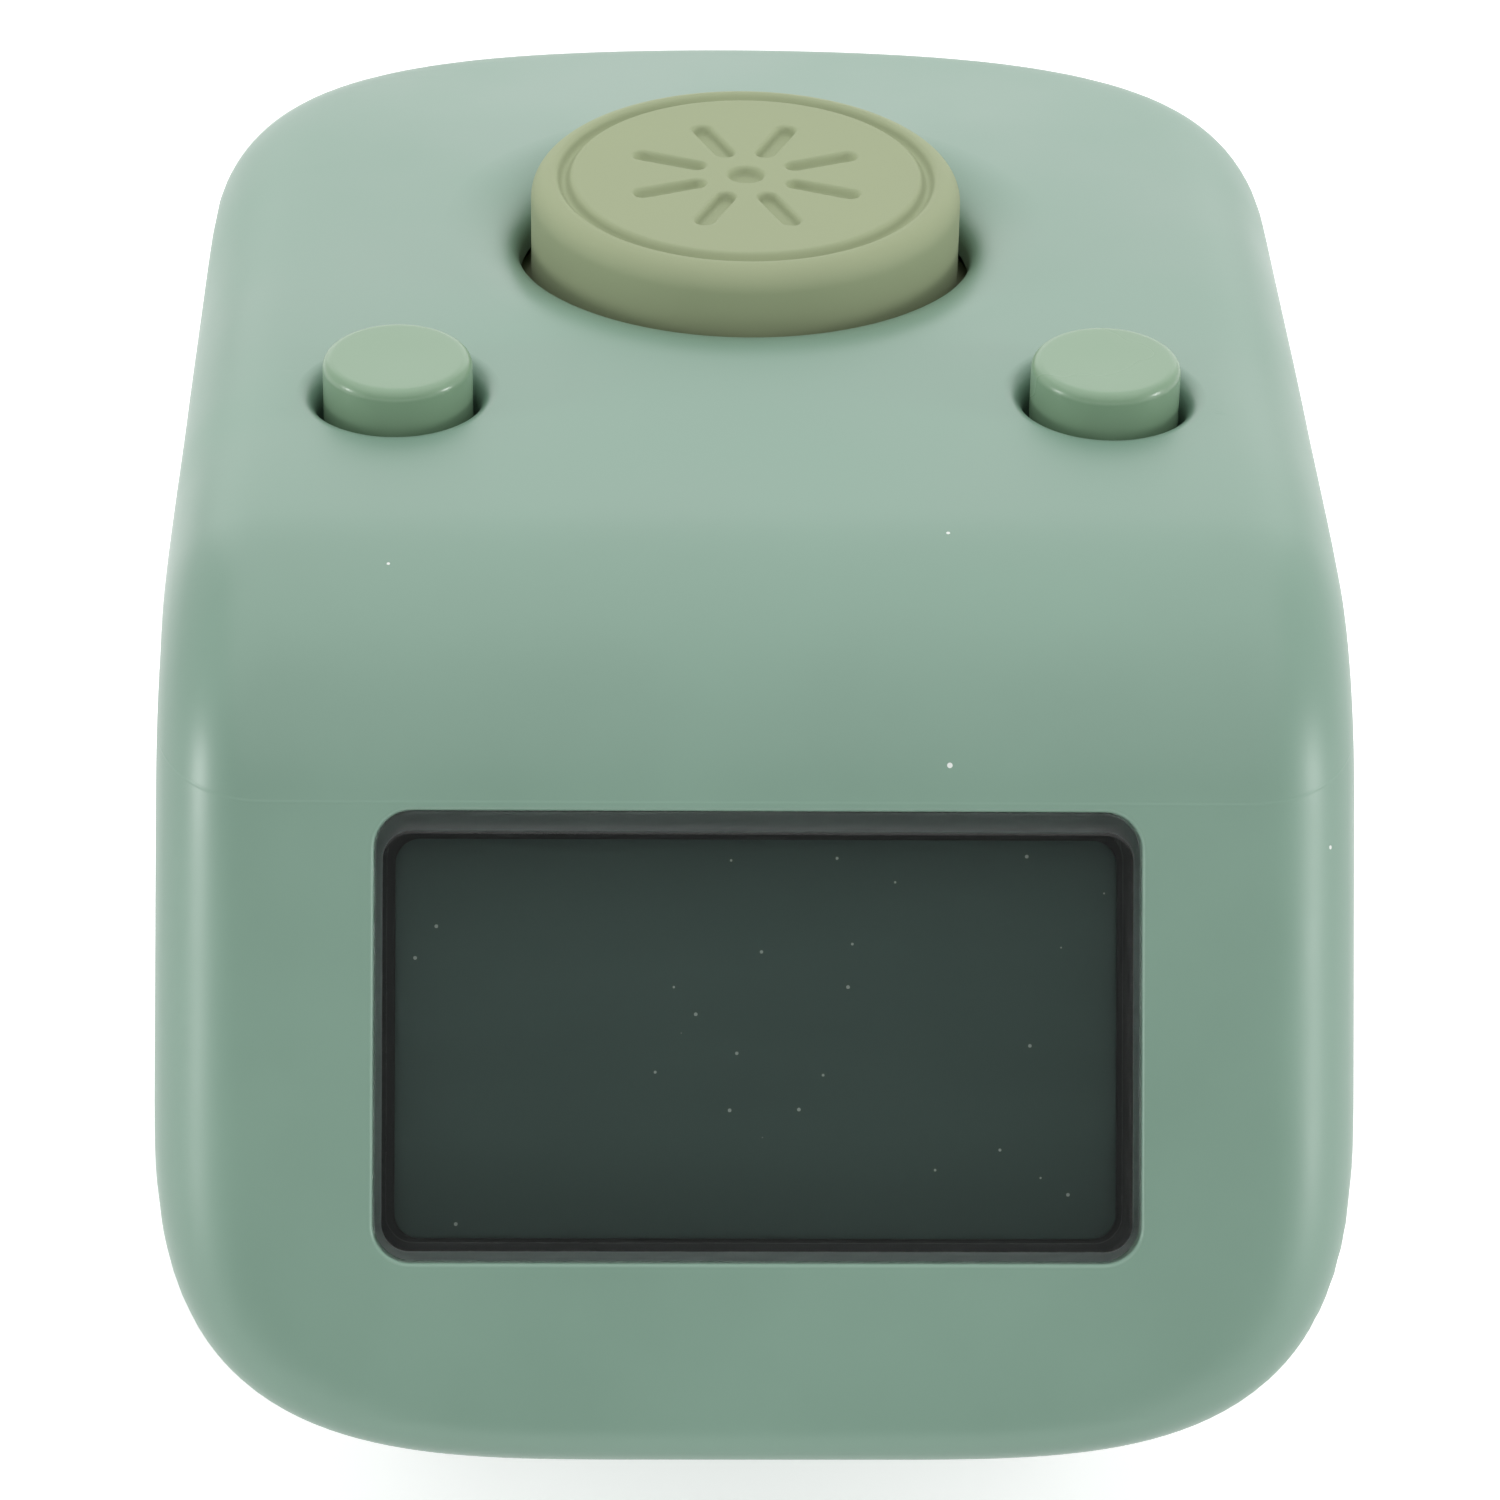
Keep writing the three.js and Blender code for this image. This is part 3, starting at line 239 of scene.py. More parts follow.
class Shell:
    """Patches of vertices and faces, welded at the end where their points coincide."""

    def __init__(self):
        self.points = []
        self.quads = []
        self.triangles = []
        self.count = 0

    def add(self, points):
        """Takes points of any shape in and gives the indices that they get, in that shape."""
        points = np.asarray(points, float)
        start = self.count
        self.points.append(points.reshape(-1, 3))
        self.count += self.points[-1].shape[0]
        return np.arange(start, self.count).reshape(points.shape[:-1])

    def grid(self, index):
        """Quads between the rows of an index grid, whose last column is joined to the first."""
        index = np.concatenate([index, index[:, :1]], axis=1)
        corners = [index[:-1, :-1], index[1:, :-1], index[1:, 1:], index[:-1, 1:]]
        self.quads.append(np.stack(corners, axis=-1).reshape(-1, 4))

    def sheet(self, points):
        """Takes rows of points in, joins them with quads and gives their indices."""
        index = self.add(points)
        self.grid(index)
        return index

    def fan(self, point, ring):
        """Triangles from a new vertex to a closed ring of vertices."""
        centre = np.full_like(ring, self.add([point])[0])
        self.triangles.append(np.stack([centre, ring, np.roll(ring, -1)], axis=-1))

    def zip(self, coarse, fine):
        """Triangles between a closed ring and one with a whole number of times its vertices."""
        times = len(fine) // len(coarse)
        half = times // 2
        after = np.roll(coarse, -1)
        steps = np.append(fine, fine[0])
        for i in range(times):
            low, high = steps[i:-1:times], steps[i + 1::times]
            self.triangles.append(np.stack([coarse if i < half else after, low, high], axis=-1))
        self.triangles.append(np.stack([coarse, steps[half:-1:times], after], axis=-1))

    def mesh(self, name, weld=1e-5):
        """One mesh of all patches, welded, with its faces turned outwards."""
        points = np.concatenate(self.points)
        quads = np.concatenate(self.quads) if self.quads else np.zeros((0, 4), int)
        triangles = np.concatenate(self.triangles) if self.triangles else np.zeros((0, 3), int)
        used = np.unique(np.concatenate([quads.ravel(), triangles.ravel()]))
        place = np.zeros(len(points), int)
        place[used] = np.arange(len(used))
        corners = np.concatenate([place[quads].ravel(), place[triangles].ravel()])
        sizes = np.concatenate([np.full(len(quads), 4), np.full(len(triangles), 3)])
        mesh = bpy.data.meshes.new(name)
        mesh.vertices.add(len(used))
        mesh.vertices.foreach_set("co", to_row(points[used]).ravel())
        mesh.loops.add(len(corners))
        mesh.loops.foreach_set("vertex_index", corners)
        mesh.polygons.add(len(sizes))
        mesh.polygons.foreach_set("loop_start", np.concatenate([[0], np.cumsum(sizes)[:-1]]))
        mesh.update(calc_edges=True)
        work = bmesh.new()
        work.from_mesh(mesh)
        bmesh.ops.remove_doubles(work, verts=work.verts, dist=weld * 0.001)
        bmesh.ops.recalc_face_normals(work, faces=work.faces)
        work.to_mesh(mesh)
        work.free()
        mesh.polygons.foreach_set("use_smooth", np.ones(len(mesh.polygons), bool))
        mesh.update()
        return mesh


def new_object(name, data):
    """An object in the scene for a mesh, lamp or camera."""
    made = bpy.data.objects.new(name, data)
    bpy.context.scene.collection.objects.link(made)
    return made


def put_in_scene(name, mesh, material, body, slot, *nodes):
    """An object for a finished mesh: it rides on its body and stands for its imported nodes."""
    piece = new_object(name, mesh)
    mesh.materials.append(material)
    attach(piece, body)
    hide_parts(*nodes)


def rounded_outline(half_x, half_y, corner, grow=0.0, per_corner=12):
    """Closed rounded rectangle about the origin, moved outwards by grow, counter-clockwise."""
    turn = np.linspace(0, math.pi / 2, per_corner)
    angle = (turn[None, :] + (math.pi / 2) * np.arange(4)[:, None]).ravel()
    signs = np.repeat([[1, 1], [-1, 1], [-1, -1], [1, -1]], per_corner, axis=0)
    core = signs * (half_x - corner, half_y - corner)
    return core + (corner + grow) * np.stack([np.cos(angle), np.sin(angle)], axis=-1)


def full_turn(count):
    """Angles in even steps round a circle."""
    return np.arange(count) * (2 * math.pi / count)


def circle_outline(radius, count):
    """Closed circle about the origin, counter-clockwise."""
    angle = full_turn(count)
    return radius * np.stack([np.cos(angle), np.sin(angle)], axis=-1)


# Upper case

class Opening:
    """A hole in the case: a rounded rectangle, or a circle when it has no straight sides.

    origin is where its middle lies, half its half sizes across and up, and out points away from
    the case. roll is the width of the rounded edge, sink its depth, and lean the share by which
    it is deeper towards up. Cells of the case go within margin of that edge, and refine is how
    many vertices of the hole's rings stand for one of the case.
    """

    def __init__(self, origin, up, out, half, corner, roll, margin, refine=1, sink=None, lean=0.0):
        self.origin = np.array(origin, float)
        self.up = np.array(up, float)
        self.out = np.array(out, float)
        self.core = np.array(half, float) - corner
        self.corner = corner
        self.roll = roll
        self.margin = margin
        self.refine = refine
        self.sink = roll if sink is None else sink
        self.lean = lean

    def flat(self, points):
        """Place of points in the plane of the hole."""
        offset = points - self.origin
        return np.stack([offset @ ACROSS, offset @ self.up], axis=-1)

    def distance(self, flat):
        """Distance from the hole's outline, in its plane, negative inside."""
        return np.linalg.norm(np.maximum(np.abs(flat) - self.core, 0), axis=-1) - self.corner

    def edge(self, flat, grow):
        """Nearest points of the outline grown by a distance."""
        core = np.clip(flat, -self.core, self.core)
        away = flat - core
        away /= np.linalg.norm(away, axis=-1, keepdims=True)
        return core + (self.corner + grow) * away

    def on_case(self, flat, inset=0.0):
        """Points of the case's outside above places in the plane, or of its inside by inset."""
        plane = self.origin + flat[..., :1] * ACROSS + flat[..., 1:] * self.up
        return leave_case(plane, self.out, inset)


def case_openings(sizes):
    """The window, the three button holes and the opening of the bottom cover."""
    behind = 3.0
    count = (sizes.count_radius + sizes.count_gap) * 1000
    small = (sizes.small_radius + sizes.small_gap) * 1000
    back, upwards, downwards = (0, 1, 0), (0, 0, 1), (0, 0, -1)
    return [
        Opening(WINDOW_MIDDLE - behind * FACE_OUT, FACE_UP, FACE_OUT, WINDOW_HALF, WINDOW_CORNER,
                roll=0.1, margin=0.3, refine=3),
        Opening((0, COUNT_Y, HEART_Z), back, upwards, (count, count), count, margin=0.5, refine=2,
                roll=sizes.count_roll * 1000, sink=sizes.count_sink * 1000, lean=0.4),
        *(Opening((x, SMALL_Y, HEART_Z), back, upwards, (small, small), small, margin=0.45, refine=3,
                  roll=sizes.small_roll * 1000, sink=sizes.small_sink * 1000)
          for x in (-SMALL_X, SMALL_X)),
        Opening((*COVER_MIDDLE, HEART_Z), back, downwards, (COVER_HALF, COVER_REACH), COVER_CORNER,
                roll=0.2, margin=0.4),
    ]


def case_grid(spokes=264, columns=70, fans=18):
    """Points of the case's outside on rings round its long middle line.

    Rays leave a line across the heart of the case. Over its middle they point at the side
    profile, whose spokes are closer together where it bends. Past the ends they lean over to
    the side walls, closer together about the edge between top and side.
    """
    heart = np.array([0.0, 0.0, HEART_Z])
    directions, bend_weight, end_reach, crowding = 720, 7.0, 2.1, 1.3
    angle = full_turn(directions)
    direction = np.stack([0 * angle, np.cos(angle), np.sin(angle)], axis=-1)
    outline = (leave_case(heart, direction) - heart)[:, 1:]
    outline = np.vstack([outline, outline[:1]])
    step = np.diff(outline, axis=0)
    heading = np.arctan2(step[:, 1], step[:, 0])
    turn = np.abs((np.diff(heading, prepend=heading[-1]) + math.pi) % (2 * math.pi) - math.pi)
    travelled = np.concatenate([[0], np.cumsum(np.hypot(*step.T) + bend_weight * turn)])
    target = np.arange(spokes) * (travelled[-1] / spokes)
    spoke = np.stack([np.interp(target, travelled, outline[:, i]) for i in (0, 1)], axis=-1)

    flat_reach = SIDE_X - end_reach
    share = 2 * np.arange(1, fans + 1) / (fans + 1) - 1
    lean = (math.pi / 4) * (1 + np.sign(share) * np.abs(share) ** crowding)
    ring_x = np.concatenate([np.full(fans, -flat_reach), np.linspace(-flat_reach, flat_reach, columns),
                             np.full(fans, flat_reach)])
    ring_lean = np.concatenate([-lean[::-1], np.zeros(columns), lean])
    sideways = (SIDE_X - flat_reach) * np.sin(ring_lean)[:, None] * np.ones(spokes)
    upright = np.cos(ring_lean)[:, None]
    direction = np.stack([sideways, upright * spoke[:, 0], upright * spoke[:, 1]], axis=-1)
    direction /= np.linalg.norm(direction, axis=-1, keepdims=True)
    origin = np.stack([ring_x, 0 * ring_x, 0 * ring_x + HEART_Z], axis=-1)
    return leave_case(origin[:, None, :], direction)


def cell_corners(values):
    """The four corner values of each cell of a grid that closes on itself in its columns."""
    after = np.roll(values, -1, axis=1)
    return values[:-1], values[1:], after[1:], after[:-1]


def cut_opening(shell, outer, inner, outer_index, inner_index, opening):
    """Cuts one hole through both walls of the case and gives the mask of the cells it removes.

    Where cells are removed, rings run from the loop of vertices round them to the hole's
    outline. From there a quarter circle rolls over into the hole, and a straight wall goes
    down to the inside, where rings run back to the same loop on the inner wall.
    """
    middle = sum(cell_corners(outer)) / 4
    facing = (middle - opening.origin) @ opening.out > 0
    gone = facing & (opening.distance(opening.flat(middle)) < opening.roll + opening.margin)
    if opening.core.min() > 0:
        gone = gone.any(axis=1)[:, None] & gone.any(axis=0)[None, :]
    touched = np.zeros(outer.shape[:2], int)
    for rows in (slice(0, -1), slice(1, None)):
        for shift in (0, 1):
            touched[rows] += np.roll(gone, shift, axis=1)
    row, column = np.nonzero((touched > 0) & (touched < 4))
    loop = opening.flat(outer[row, column])
    order = np.argsort(np.arctan2(loop[:, 1], loop[:, 0]))
    row, column, loop = row[order], column[order], loop[order]
    across = np.abs(np.diff(column, append=column[0]))
    across = np.minimum(across, outer.shape[1] - across)
    if np.any(np.abs(np.diff(row, append=row[0])) + across != 1):
        raise RuntimeError("The cells removed for an opening have no single outline.")

    def refined(ring):
        share = (np.arange(opening.refine) / opening.refine)[None, :, None]
        after = np.roll(ring, -1, axis=0)
        return (ring[:, None] * (1 - share) + after[:, None] * share).reshape(-1, ring.shape[-1])

    fine = refined(loop)
    start = opening.edge(fine, opening.roll)
    rings = [opening.on_case(fine + (start - fine) * t) for t in (0.3, 0.6, 0.84, 0.95, 1.0)]
    for turn in np.linspace(0, math.pi / 2, 11)[1:]:
        flat = opening.edge(fine, opening.roll * (1 - math.sin(turn)))
        lean = 1 + opening.lean * flat[:, 1:] / np.linalg.norm(flat, axis=1, keepdims=True)
        rings.append(opening.on_case(flat) - opening.sink * lean * (1 - math.cos(turn)) * opening.out)
    brink = rings[-1]
    bottom = opening.on_case(opening.edge(fine, 0.0), WALL)
    rings += [brink + (bottom - brink) * t for t in (0.08, 0.5, 0.92, 1.0)]
    within = refined(inner[row, column])
    rings += [bottom + (within - bottom) * t for t in (0.1, 0.4, 0.75)]
    index = shell.sheet(np.stack(rings))
    shell.zip(outer_index[row, column], index[0])
    shell.zip(inner_index[row, column], index[-1])
    return gone


def upper_case_mesh(sizes):
    """The case's shell: its outside, the same points moved in by the wall, and the openings."""
    outer = case_grid()
    inner = outer - WALL * case_normal(outer)
    shell = Shell()
    outer_index = shell.add(outer)
    inner_index = shell.add(inner)
    gone = np.zeros((outer.shape[0] - 1, outer.shape[1]), bool)
    for opening in case_openings(sizes):
        gone |= cut_opening(shell, outer, inner, outer_index, inner_index, opening)
    for points, index in ((outer, outer_index), (inner, inner_index)):
        corners = np.stack(cell_corners(index), axis=-1)
        shell.quads.append(corners[~gone])
        for ring, side in ((0, -1), (-1, 1)):
            offset = WALL if points is inner else 0.0
            shell.fan([side * (SIDE_X - offset), 0.0, HEART_Z], index[ring])
    return shell.mesh("upper_case_shell")


# Buttons

def stroke_depth(x, y, sizes):
    """Depth of the mark in the big cap: short strokes that point at a dot, with soft edges.

    Each stroke is a rounded bar between two radii; the depth fades over a narrow border.
    """
    radius = np.hypot(x, y)
    angle = np.arctan2(y, x)
    step = 2 * math.pi / sizes.mark_strokes
    turned = (angle % step) - step / 2
    along = radius * np.cos(turned)
    beside = np.abs(radius * np.sin(turned))
    half = sizes.mark_width * 500
    inner, outer = sizes.mark_inner * 1000 + half, sizes.mark_outer * 1000 - half
    past = along - np.clip(along, inner, outer)
    bar = np.hypot(past, beside) - half
    dot = radius - 2 * half
    soft = 0.09
    return sizes.mark_depth * 1000 * smooth_step(0.5 - np.minimum(bar, dot) / (2 * soft))


def rounded_face(radius, face, rim, way, across, around):
    """Profile rows from the axis over a flat face and round its rim, up or down with way 1 or -1."""
    rows = [(r, face) for r in np.linspace(0, radius - rim, across)[:-1]]
    rows += [(radius - rim * (1 - math.sin(t)), face + way * rim * (1 - math.cos(t)))
             for t in np.linspace(0, math.pi / 2, around)]
    return rows


def cap_mesh(name, x, y, cap, around, top_rows, top_depth):
    """A button turned about its upright axis, with a top that follows the fall of the case.

    The profile runs from the axis over the top, round the rim, down the wall, round the flange
    and under the stem back to the axis. The top is sheared by the slope of the case there less
    the cap's own tilt, and top_depth sinks it by a function of the place on the cap.
    """
    surface = leave_case(np.array([x, y, HEART_Z]), np.array([0.0, 0.0, 1.0]))[2]
    slope = (y - CREST_Y) / TOP_RADIUS
    flange_top = surface - WALL - 2 * FIT - slope * cap["flange"]
    flange_bottom = flange_top - cap["flange_height"]
    stem_end = flange_bottom - cap["stem_length"]
    top, radius, rim, soft = surface + cap["rise"], cap["radius"], cap["rim"], 0.12
    rows = rounded_face(radius, top, rim, -1, top_rows, 14)
    rows += [(radius, z) for z in np.linspace(top - rim, flange_top, 8)[1:]]
    rows += [(cap["flange"] - soft, flange_top), (cap["flange"], flange_top - soft),
             (cap["flange"], flange_bottom + soft), (cap["flange"] - soft, flange_bottom),
             (cap["stem"], flange_bottom), (cap["stem"], stem_end), (0.0, stem_end)]

    def lift(px, py, z):
        weight = smooth_step((z - flange_top) / (top - rim - flange_top))
        return -weight * (slope - cap["tilt"]) * py - np.where(z >= top, top_depth(px, py), 0)

    shell = Shell()
    turned(shell, rows, (x, y), around, lift)
    return shell.mesh(name)


def count_cap_mesh(sizes):
    """The big cap, with a soft ring groove near its rim and the mark in its middle."""
    cap = dict(radius=sizes.count_radius * 1000, rise=1.35, rim=sizes.count_rim * 1000,
               flange=6.1, flange_height=0.9, stem=1.7, stem_length=0.3, tilt=0.04)
    groove, width = sizes.ring_radius * 1000, sizes.ring_width * 1000

    def depth(px, py):
        away = np.clip(np.abs(np.hypot(px, py) - groove) / width, 0, 1)
        ring = sizes.ring_depth * 1000 * (0.5 + 0.5 * np.cos(math.pi * away))
        return ring + stroke_depth(px, py, sizes)

    return cap_mesh("count_button_cap", 0.0, COUNT_Y, cap, 320, 110, depth)


def small_cap_mesh(name, x, sizes):
    """A small glossy cap, its top a little hollow towards the middle."""
    hollow = 0.012
    cap = dict(radius=sizes.small_radius * 1000, rise=0.9, rim=sizes.small_rim * 1000,
               flange=2.5, flange_height=0.8, stem=1.0, stem_length=1.8, tilt=0.0)
    flat = cap["radius"] - cap["rim"]

    def depth(px, py):
        return hollow * (1 - smooth_step(np.hypot(px, py) / flat))

    return cap_mesh(name, x, SMALL_Y, cap, 128, 30, depth)


# Window

def in_face(flat, height):
    """Points of the leaning face: right, up the face from the window's middle, and outwards."""
    height = np.broadcast_to(height, flat.shape[:-1])[..., None]
    return WINDOW_MIDDLE + flat[..., :1] * ACROSS + flat[..., 1:] * FACE_UP + height * FACE_OUT


def lens_mesh(sizes):
    """Clear pane: a rounded rectangle carried along a profile of outward growth and height.

    The profile goes round the flange behind the case wall, up the pane's side and over its
    bevel. There its growth is a share of the bevel's width, which differs on the sides, above
    and below.
    """
    half = np.array(WINDOW_HALF) - PANE_FIT
    face, soft = -PANE_RECESS, 0.04
    rim = face - sizes.lens_bevel * 1000
    back, step = -2.2, -1.6
    profile = [(0.3, back), (0.46, back), (0.5, back + soft), (0.5, step - soft), (0.46, step),
               (0.0, step), (0.0, step + 0.1), (0.0, rim - soft), (-0.05, rim + 0.5 * soft),
               (-0.92, face - 0.5 * soft), (-1.0, face - 0.1 * soft), (-1.15, face), (-1.3, face)]
    side, above, below = LENS_BEVELS.values()
    rows = []
    for grow, height in profile:
        share = min(grow, 0.0)
        narrower = half + share * np.array([side, (above + below) / 2])
        middle = (0.0, share * (above - below) / 2)
        outline = rounded_outline(*narrower, WINDOW_CORNER + 0.2 * share, max(grow, 0.0))
        rows.append(in_face(middle + outline, height))
    shell = Shell()
    index = shell.sheet(np.stack(rows))
    for row, height in ((0, back), (-1, face)):
        shell.fan(in_face(np.zeros(2), height), index[row])
    return shell.mesh("window_lens_pane")


def gasket_mesh():
    """Foam frame behind the lens: a flat ring between two rounded rectangles."""
    half = np.array(WINDOW_HALF) - FIT
    beyond, cover, cover_above = 0.5, 0.28, 0.5
    low, high = half[1] - cover, half[1] - cover_above
    outer = rounded_outline(*(half + beyond), WINDOW_CORNER)
    inner = rounded_outline(half[0] - cover, (low + high) / 2, WINDOW_CORNER - cover)
    inner += (0.0, (high - low) / 2)
    front, back, soft = -2.3, -2.6, 0.05
    towards = (outer - inner) * soft / (beyond + cover)
    rows = [(outer, back), (outer, front), (inner + towards, front), (inner, front - soft), (inner, back)]
    shell = Shell()
    index = shell.add(np.stack([in_face(flat, height) for flat, height in rows]))
    shell.grid(np.concatenate([index, index[:1]]))
    return shell.mesh("lens_gasket_foam")


# Bottom cover, battery door and screws

def underside(flat):
    """Height of the case's underside, the greater of the case and the finger groove's arc."""
    down = np.array([0.0, 0.0, -1.0])
    origin = np.concatenate([flat, np.full(flat.shape[:-1] + (1,), HEART_Z)], axis=-1)
    case = leave_case(origin, down)[..., 2]
    groove = GROOVE_DEPTH - GROOVE_RADIUS + np.sqrt(GROOVE_RADIUS ** 2 - flat[..., 0] ** 2)
    soft = 0.12
    return (case + groove + np.hypot(case - groove, soft)) / 2


def inside_loop(flat, loop):
    """Whether points lie in a closed loop, by counting the edges that a line to the right meets."""
    x, y = flat[:, None, 0], flat[:, None, 1]
    x0, y0 = loop.T
    x1, y1 = np.roll(loop, -1, axis=0).T
    crosses = (y0 > y) != (y1 > y)
    with np.errstate(divide="ignore", invalid="ignore"):
        at = x0 + (y - y0) * (x1 - x0) / (y1 - y0)
    return (crosses & (x < at)).sum(axis=1) % 2 == 1


def between(flat, outer, holes):
    """Whether points lie in the outer loop and in none of the holes."""
    kept = inside_loop(flat, outer[0])
    for hole, _ in holes:
        kept &= ~inside_loop(flat, hole)
    return kept


def fill(shell, outer, holes, height, spacing=0.55):
    """A sheet between an outer loop and hole loops, over a grid of points, at a height function.

    Each loop is a pair of its flat points and the indices that they already have in the shell.
    """
    loops = [outer, *holes]
    rim = np.concatenate([flat for flat, _ in loops])
    low, high = outer[0].min(axis=0), outer[0].max(axis=0)
    steps = np.ceil((high - low) / spacing).astype(int)
    mesh = np.meshgrid(*(np.linspace(low[i], high[i], steps[i]) for i in (0, 1)))
    inner = np.stack([side.ravel() for side in mesh], axis=-1)
    away = np.linalg.norm(inner[:, None] - rim[None], axis=-1).min(axis=1)
    inner = inner[(away > 0.5 * spacing) & between(inner, outer, holes)]
    index = np.concatenate([*(known for _, known in loops),
                            shell.add(np.concatenate([inner, height(inner)[:, None]], axis=1))])
    edges, start = [], 0
    for flat, _ in loops:
        own = np.arange(start, start + len(flat))
        edges += np.stack([own, np.roll(own, -1)], axis=-1).tolist()
        start += len(flat)
    points = np.concatenate([rim, inner])
    found = delaunay_2d_cdt([Vector(p) for p in points.tolist()], edges, [], 0, 1e-7)
    source = np.array([known[0] for known in found[3]])
    triangles = source[np.array(found[2])]
    middle = points[triangles].mean(axis=1)
    shell.triangles.append(index[triangles[between(middle, outer, holes)]])


def rolled_wall(shell, loop, way, roll, low, high):
    """Rings from a rolled lower edge up a straight wall: gives the lowest and the highest ring.

    loop gives the outline grown by a distance, way is 1 for a hole and -1 for an outer edge,
    low is the height function of the face and high the height at which the wall ends.
    """
    rings = []
    for turn in np.linspace(0, math.pi / 2, 6):
        flat = loop(way * roll * (1 - math.sin(turn)))
        rings.append(np.column_stack([flat, low(flat) + roll * (1 - math.cos(turn))]))
    brink = rings[-1]
    end = np.column_stack([brink[:, :2], np.full(len(brink), high)])
    rings += [brink + (end - brink) * 0.1, brink + (end - brink) * 0.9, end]
    index = shell.sheet(np.stack(rings))
    return (rings[0][:, :2], index[0]), (end[:, :2], index[-1])


def arc_block(shell, radii, angles, heights, middle):
    """A closed block between two radii, two angles and two heights."""
    angle = np.linspace(*angles, 16)
    ring = [np.stack([middle[0] + r * np.cos(angle), middle[1] + r * np.sin(angle), 0 * angle + z], -1)
            for r, z in ((radii[0], heights[0]), (radii[1], heights[0]), (radii[1], heights[1]),
                         (radii[0], heights[1]))]
    index = shell.sheet(np.stack(ring, axis=1))
    shell.quads.append(index[[0, -1]])


def level(z):
    """Height function of a sheet that lies level."""
    def height(flat):
        return np.full(len(flat), z)
    return height


def rectangle_at(middle, half, corner, per_corner=12):
    """Outline of a rounded rectangle as a function of its growth."""
    def grown(grow):
        return middle + rounded_outline(*half, corner, grow, per_corner)
    return grown


def circle_at(middle, radius):
    """Outline of a circle as a function of its growth."""
    def grown(grow):
        return middle + circle_outline(radius + grow, 48)
    return grown


def upright_rings(shell, rings):
    """A wall through rings, each a flat outline and its height: gives them as the shell's loops."""
    points = [np.column_stack([flat, np.full(len(flat), z)]) for flat, z in rings]
    index = shell.sheet(np.stack(points))
    return [(flat, ring) for (flat, _), ring in zip(rings, index)]


def screw_hole(shell, at, seat, top):
    """A recess for a screw's head and a pilot hole over it: gives its lowest and highest loop."""
    low, high = rolled_wall(shell, circle_at(at, screw_head() + FIT), 1, SOFT_EDGE, underside, seat)
    pilot = at + circle_outline(PILOT_RADIUS, 48)
    foot, end = upright_rings(shell, [(pilot, seat), (pilot, top)])
    shell.grid(np.stack([high[1], foot[1]]))
    return low, end


def lower_case_mesh(sizes):
    """Bottom cover: a plate whose underside is the case's own, with its openings rolled in.

    The door's opening goes up to a ledge round the cell, each screw has a recess down to its
    seat, and the cradle's two arcs and the boss of the door's screw stand on top.
    """
    shell = Shell()
    edge = rectangle_at(COVER_MIDDLE, (COVER_HALF - FIT, COVER_REACH - FIT), COVER_CORNER - FIT, 24)
    outer_low, outer_high = rolled_wall(shell, edge, -1, sizes.seam_roll * 1000, underside, COVER_TOP)
    holes = []
    for side in (-1, 1):
        slot = rectangle_at((side * SLOT_X, BAND_Y), SLOT_HALF, SLOT_CORNER, 6)
        holes.append(rolled_wall(shell, slot, 1, SOFT_EDGE, underside, COVER_TOP))
        for y in POST_Y:
            at = np.array([side * POST_X, y])
            holes.append(screw_hole(shell, at, underside(at[None])[0] + POST_SEAT, COVER_TOP))
    door = rectangle_at(DOOR_MIDDLE, (DOOR_HALF, DOOR_REACH), DOOR_CORNER)
    low, ledge = rolled_wall(shell, door, 1, 2 * SOFT_EDGE, underside, DOOR_TOP)
    cell = (0.0, CELL_Y) + circle_outline(CRADLE_RADII[0], 96)
    foot, end = upright_rings(shell, [(cell, DOOR_TOP), (cell, COVER_TOP)])
    fill(shell, ledge, [foot], level(DOOR_TOP))
    holes.append((low, end))
    fill(shell, outer_low, [lowest for lowest, _ in holes], underside)
    fill(shell, outer_high, [highest for _, highest in holes], level(COVER_TOP))
    bare = shell.mesh("bottom_cover")
    extra = Shell()
    sunk = COVER_TOP - BURIED
    for start in (math.pi / 2, -math.pi / 2):
        arc_block(extra, CRADLE_RADII, (start - CRADLE_HALF_ANGLE, start + CRADLE_HALF_ANGLE),
                  (sunk, COVER_TOP + CRADLE_HEIGHT), (0.0, CELL_Y))
    boss = [(0.0, sunk), (BOSS_RADIUS, sunk), (BOSS_RADIUS, COVER_TOP + BOSS_HEIGHT),
            (0.0, COVER_TOP + BOSS_HEIGHT)]
    turned(extra, boss, (0.0, DOOR_SCREW_Y), 48)
    return merged(bare, extra.mesh("cradle"))


def merged(first, second):
    """Both meshes as one."""
    work = bmesh.new()
    work.from_mesh(first)
    work.from_mesh(second)
    work.to_mesh(first)
    work.free()
    bpy.data.meshes.remove(second)
    first.polygons.foreach_set("use_smooth", np.ones(len(first.polygons), bool))
    return first


def turned(shell, profile, middle, around, depth=None):
    """A profile of radius and height turned about an upright axis, sunk by an optional depth."""
    r, z = np.array(profile).T[:, :, None]
    angle = full_turn(around)
    px, py = r * np.cos(angle), r * np.sin(angle)
    height = z + 0 * px if depth is None else z + depth(px, py, z)
    shell.sheet(np.stack([middle[0] + px, middle[1] + py, height], axis=-1))


